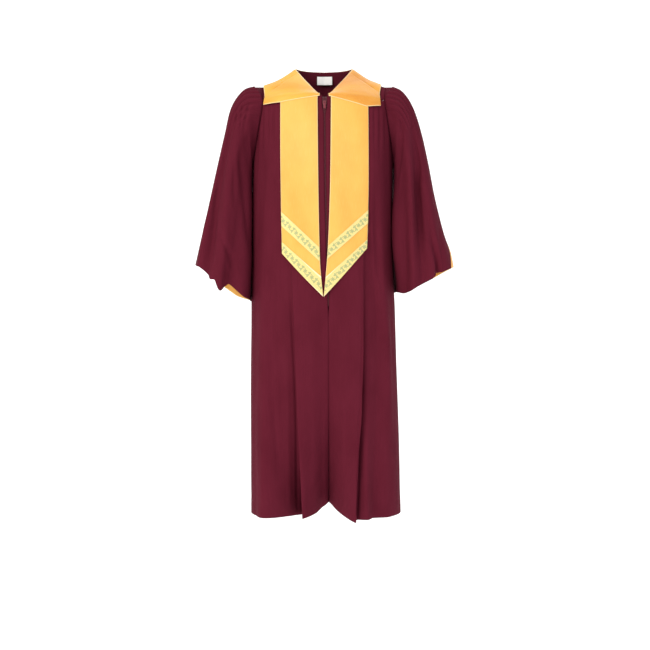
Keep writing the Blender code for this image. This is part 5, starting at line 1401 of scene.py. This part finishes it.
def buildSleeve(side, panels, materials):
    sign = 1 if side == "left" else -1
    sleeve = dict(side=side, sign=sign, stations=sleeveStations[side], folds=sleeveFolds[side],
                  loop=armholeLoop(*panels["sides"][sign], sign))
    along = np.linspace(0.0, 1.0, sleeveForm["rows"])[:, None] ** sleeveForm["rowBias"]
    around = gores[side]["middle"] + np.linspace(0.0, 360.0, sleeveForm["columns"])[None, :]
    placed = besideGore(side, along, around * np.ones(along.shape))
    grid = sleevePoints(sleeve, along, placed)
    grid = softenSleeve(side, grid, along, placed, sleeve)
    outward = sleeveOutward(side, grid)
    piece = makeSheet("sleeve_" + side + "_cloth", grid, outward, 0.0, materials["gown"], "b")
    choose(piece)
    bpy.ops.object.mode_set(mode="EDIT")
    bpy.ops.mesh.select_all(action="SELECT")
    bpy.ops.mesh.remove_doubles(threshold=sleeveForm["weld"])
    bpy.ops.object.mode_set(mode="OBJECT")
    thicken(piece, sleeveForm["thickness"])
    dress(piece, "gown_cloth", "sleeve_" + side)
    buildGore(side, sleeve, materials)
    print("sleeve", side)


def sleeveOutward(side, grid):
    # away from the sleeve's own middle, at the grid's middle column
    row = grid.shape[0] // 2
    middle = grid[row].mean(axis=0)
    return grid[row, grid.shape[1] // 2] - middle


def softenSleeve(side, grid, along, around, sleeve):
    across, down = clothLengths(grid)
    facing = around % 360.0
    front = ease(np.sin(np.radians(facing)), *sleeveForm["facesFront"])
    creases = rightSleeveCreases if side == "right" else leftSleeveCreases
    out = creaseDepth(creases, grid[..., 0], grid[..., 2]) * front
    out = out + creaseDepth(backSleeveCreases, grid[..., 0] * sleeve["sign"], grid[..., 2]) * (1 - front)
    radius = sleeveForm["radius"]
    uneven = rumple(np.sin(np.radians(facing)) * radius, down + np.cos(np.radians(facing)) * radius,
                    sleeveForm["rumpleSize"], 23.0 + sleeve["sign"], sleeveForm["rumpleStretch"])
    out = out + sleeveForm["rumple"] * uneven * ease(down, 0.0, sleeveForm["calmBelowSeam"])
    out = out - hemLine(down, sleeveForm, sleeveForm["hemSoftness"])
    fromSplit = np.minimum(across, across[:, -1:] - across)
    beside = (ease(along, goreTop - sleeveForm["splitStart"], goreTop)
              * (1 - ease(fromSplit, *sleeveForm["besideSplit"])))
    out = out * ease(down, 0.0, sleeveForm["topEase"]) * (1 - beside)
    moved = moveOut(grid, out, sleeveOutward(side, grid))
    above = (along[:, 0] <= goreTop)
    moved[above, -1] = moved[above, 0] = (moved[above, -1] + moved[above, 0]) / 2
    return moved


goreForm = dict(bulge=0.0035, rows=50, columns=34, tuck=5.0, inset=0.0014, thickness=0.0007,
                flat=dict(right=(0.14, 0.19), left=(0.17, 0.21)), area=dict(right=0.012, left=0.017))


def buildGore(side, sleeve, materials):
    # gold wedge sewn in behind the sleeve's split edges
    along = np.linspace(goreTop - gorePoint, 1.0, goreForm["rows"])[:, None]
    width = goreHalfWidth(side, along) + goreForm["tuck"]
    around = gores[side]["middle"] + width * np.linspace(-1.0, 1.0, goreForm["columns"])[None, :]
    grid = sleevePoints(sleeve, along * np.ones(around.shape), around, goreForm["inset"])
    cuffMiddle = sleevePoints(sleeve, 1.0, np.arange(0.0, 360.0, 10.0)).mean(axis=0)
    out = grid[-1, goreForm["columns"] // 2] - cuffMiddle
    bulge = goreForm["bulge"] * np.cos(np.linspace(-0.5, 0.5, goreForm["columns"]) * np.pi) ** 2
    grid = moveOut(grid, bulge * ease(along, *goreOpens), out)
    piece = makeSheet("sleeve_gore_" + side + "_satin", grid, out, goreForm["thickness"],
                      materials["satin"], "b")
    dress(piece, "gold_satin", "sleeve_gore_" + side)


# Zip

# Its tape lies behind the closing edges, down to the point of the stole
zipTop = -0.0985
zipBottom = -0.655
zipHalfWidth = 0.0125


def closureMiddle(height):
    return readTable(closureLine, "across", height)


zipForm = dict(
    pitch=0.0030, tooth=(0.0030, 0.0011, 0.0013), toothBevel=0.0003, toothAside=0.0009, toothForward=0.0006,
    behind=0.0028, tapeRows=120, tapeColumns=13, tapeThickness=0.0006, arch=4.0, endGap=0.002,
)


def behindClosing(panels, across, height):
    # a point behind the two closing edges, on cloth that curves back a little to each side
    depths = []
    for front in panels["fronts"].values():
        edge = front[::-1, 0]
        depths.append(np.interp(height, edge[:, 2], edge[:, 1]))
    away = across - closureMiddle(height)
    depth = (depths[0] + depths[1]) / 2 + zipForm["behind"] + zipForm["arch"] * away**2
    return np.stack([across, depth, height], axis=-1)


def buildZip(panels, materials):
    columns = zipForm["tapeColumns"]
    height = np.linspace(zipTop, zipBottom, zipForm["tapeRows"])[:, None] * np.ones(columns)
    across = closureMiddle(height) + np.linspace(-1.0, 1.0, columns)[None, :] * zipHalfWidth
    grid = behindClosing(panels, across, height)
    piece = makeSheet("zip_tape_cloth", grid, (0, -1, 0), zipForm["tapeThickness"], materials["tape"], "lr")
    dress(piece, "zip_tape", "zip_tape")
    buildTeeth(panels, materials)
    print("zip tape and teeth")


def buildTeeth(panels, materials):
    # one tooth, repeated down both sides of the chain, each half a pitch below its neighbour
    deselectAll()
    bpy.ops.mesh.primitive_cube_add(size=1.0)
    tooth = bpy.context.object
    bpy.ops.object.mode_set(mode="EDIT")
    bpy.ops.mesh.select_all(action="SELECT")
    bpy.ops.transform.resize(value=zipForm["tooth"])
    bpy.ops.mesh.bevel(offset=zipForm["toothBevel"], segments=1, affect="EDGES")
    bpy.ops.object.mode_set(mode="OBJECT")
    shape = np.array([v.co for v in tooth.data.vertices])
    faces = [tuple(p.vertices) for p in tooth.data.polygons]
    points, cells = [], []
    levels = np.arange(zipTop - zipForm["endGap"], zipBottom + zipForm["endGap"], -zipForm["pitch"] / 2)
    for i, level in enumerate(levels):
        side = 1 if i % 2 else -1
        centre = behindClosing(panels, closureMiddle(level), np.array(level))
        centre = centre - np.array([0.0, zipForm["toothForward"], 0.0])
        aside = (side * zipForm["toothAside"], 0.0, 0.0)
        start = len(points)
        points += [tuple(centre + corner + aside) for corner in shape]
        cells += [tuple(start + corner for corner in face) for face in faces]
    tooth.data.clear_geometry()
    tooth.data.from_pydata(points, [], cells)
    tooth.data.update()
    tooth.name = tooth.data.name = "zip_teeth"
    tooth.data.materials.append(materials["nylon"])
    dress(tooth, "zip_tape")


def dressSlider(materials):
    for node in ("zip_slider", "zip_pull"):
        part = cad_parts[node]
        part.data.materials.clear()
        part.data.materials.append(materials["enamel"])


# Room, light and camera

room = dict(floorHeight=-1.85, wallDepth=5.2, wallTop=3.6, sweep=1.2, width=13.0, nearEdge=-5.5,
            colour="#FFFFFF", shade="#FDFDFD", glow=0.30)
light = dict(
    sky=0.74, skyColour="#FFFFFF", aim=(0.0, 0.0, -0.55),
    key=dict(place=(-2.3, -2.9, 1.4), size=2.2, power=86.0, colour="#FFF8EE"),
    fill=dict(place=(2.6, -2.6, 0.2), size=2.6, power=22.0, colour="#F6F8FF"),
    rim=dict(place=(0.4, 1.4, 2.0), size=1.8, power=22.0, colour="#FFFFFF"),
)
view = dict(place=(0.00275, -2.6, -0.704), lens=52.36, sensor=36.0)


def buildRoom():
    # white paper sweep that glows a little: floor that curves up into a wall
    turns = np.linspace(0.0, np.pi / 2, 25)
    corner = room["wallDepth"] - room["sweep"]
    bend = np.stack([corner + room["sweep"] * np.sin(turns),
                     room["floorHeight"] + room["sweep"] * (1 - np.cos(turns))], axis=1)
    near, far = [room["nearEdge"], room["floorHeight"]], [room["wallDepth"], room["wallTop"]]
    line = np.concatenate([[near], bend, [far]])
    across = np.linspace(-room["width"] / 2, room["width"] / 2, 5)
    grid = np.array([[(x, y, z) for x in across] for y, z in line])
    material, tree, shader = newMaterial("white_paper", {
        "Roughness": 0.9, "Specular IOR Level": 0.1, "Emission Color": toLinear(room["colour"]),
        "Emission Strength": room["glow"],
    })
    grain = objectNoise(tree, 60.0)
    tree.links.new(mixColour(tree, grain, room["colour"], room["shade"]), shader.inputs["Base Color"])
    floor = makeSheet("paper_sweep", grid, (0, -1, 0.2), 0.0, material)


def buildLights():
    world = bpy.data.worlds.new("white studio")
    bpy.context.scene.world = world
    world.use_nodes = True
    sky = world.node_tree.nodes["Background"]
    sky.inputs["Color"].default_value = toLinear(light["skyColour"])
    sky.inputs["Strength"].default_value = light["sky"]
    for name in ("key", "fill", "rim"):
        spec = light[name]
        deselectAll()
        bpy.ops.object.light_add(type="AREA", location=spec["place"])
        lamp = bpy.context.object
        lamp.name = name + "_light"
        lamp.data.shape = "SQUARE"
        lamp.data.size = spec["size"]
        lamp.data.energy = spec["power"]
        lamp.data.color = toLinear(spec["colour"])[:3]
        aim = Vector(light["aim"]) - Vector(spec["place"])
        lamp.rotation_euler = aim.to_track_quat("-Z", "Y").to_euler()


def buildCamera():
    deselectAll()
    bpy.ops.object.camera_add(location=view["place"], rotation=(math.pi / 2, 0.0, 0.0))
    camera = bpy.context.object
    camera.data.lens = view["lens"]
    camera.data.sensor_width = view["sensor"]
    bpy.context.scene.camera = camera
    bpy.context.scene.view_settings.view_transform = "Standard"


def writeSizes():
    print("scene built")


def buildRobe():
    materials = makeMaterials()
    panels = buildGown(materials)
    halves = buildYoke(panels, materials)
    buildCollar(halves, materials)
    buildLabel(halves, materials)
    for side in ("right", "left"):
        buildStole(side, materials)
    for row in bands:
        buildBand(row, materials)
    for side in ("right", "left"):
        buildSleeve(side, panels, materials)
    buildZip(panels, materials)
    dressSlider(materials)


buildCamera()
buildRoom()
buildLights()
buildRobe()
writeSizes()
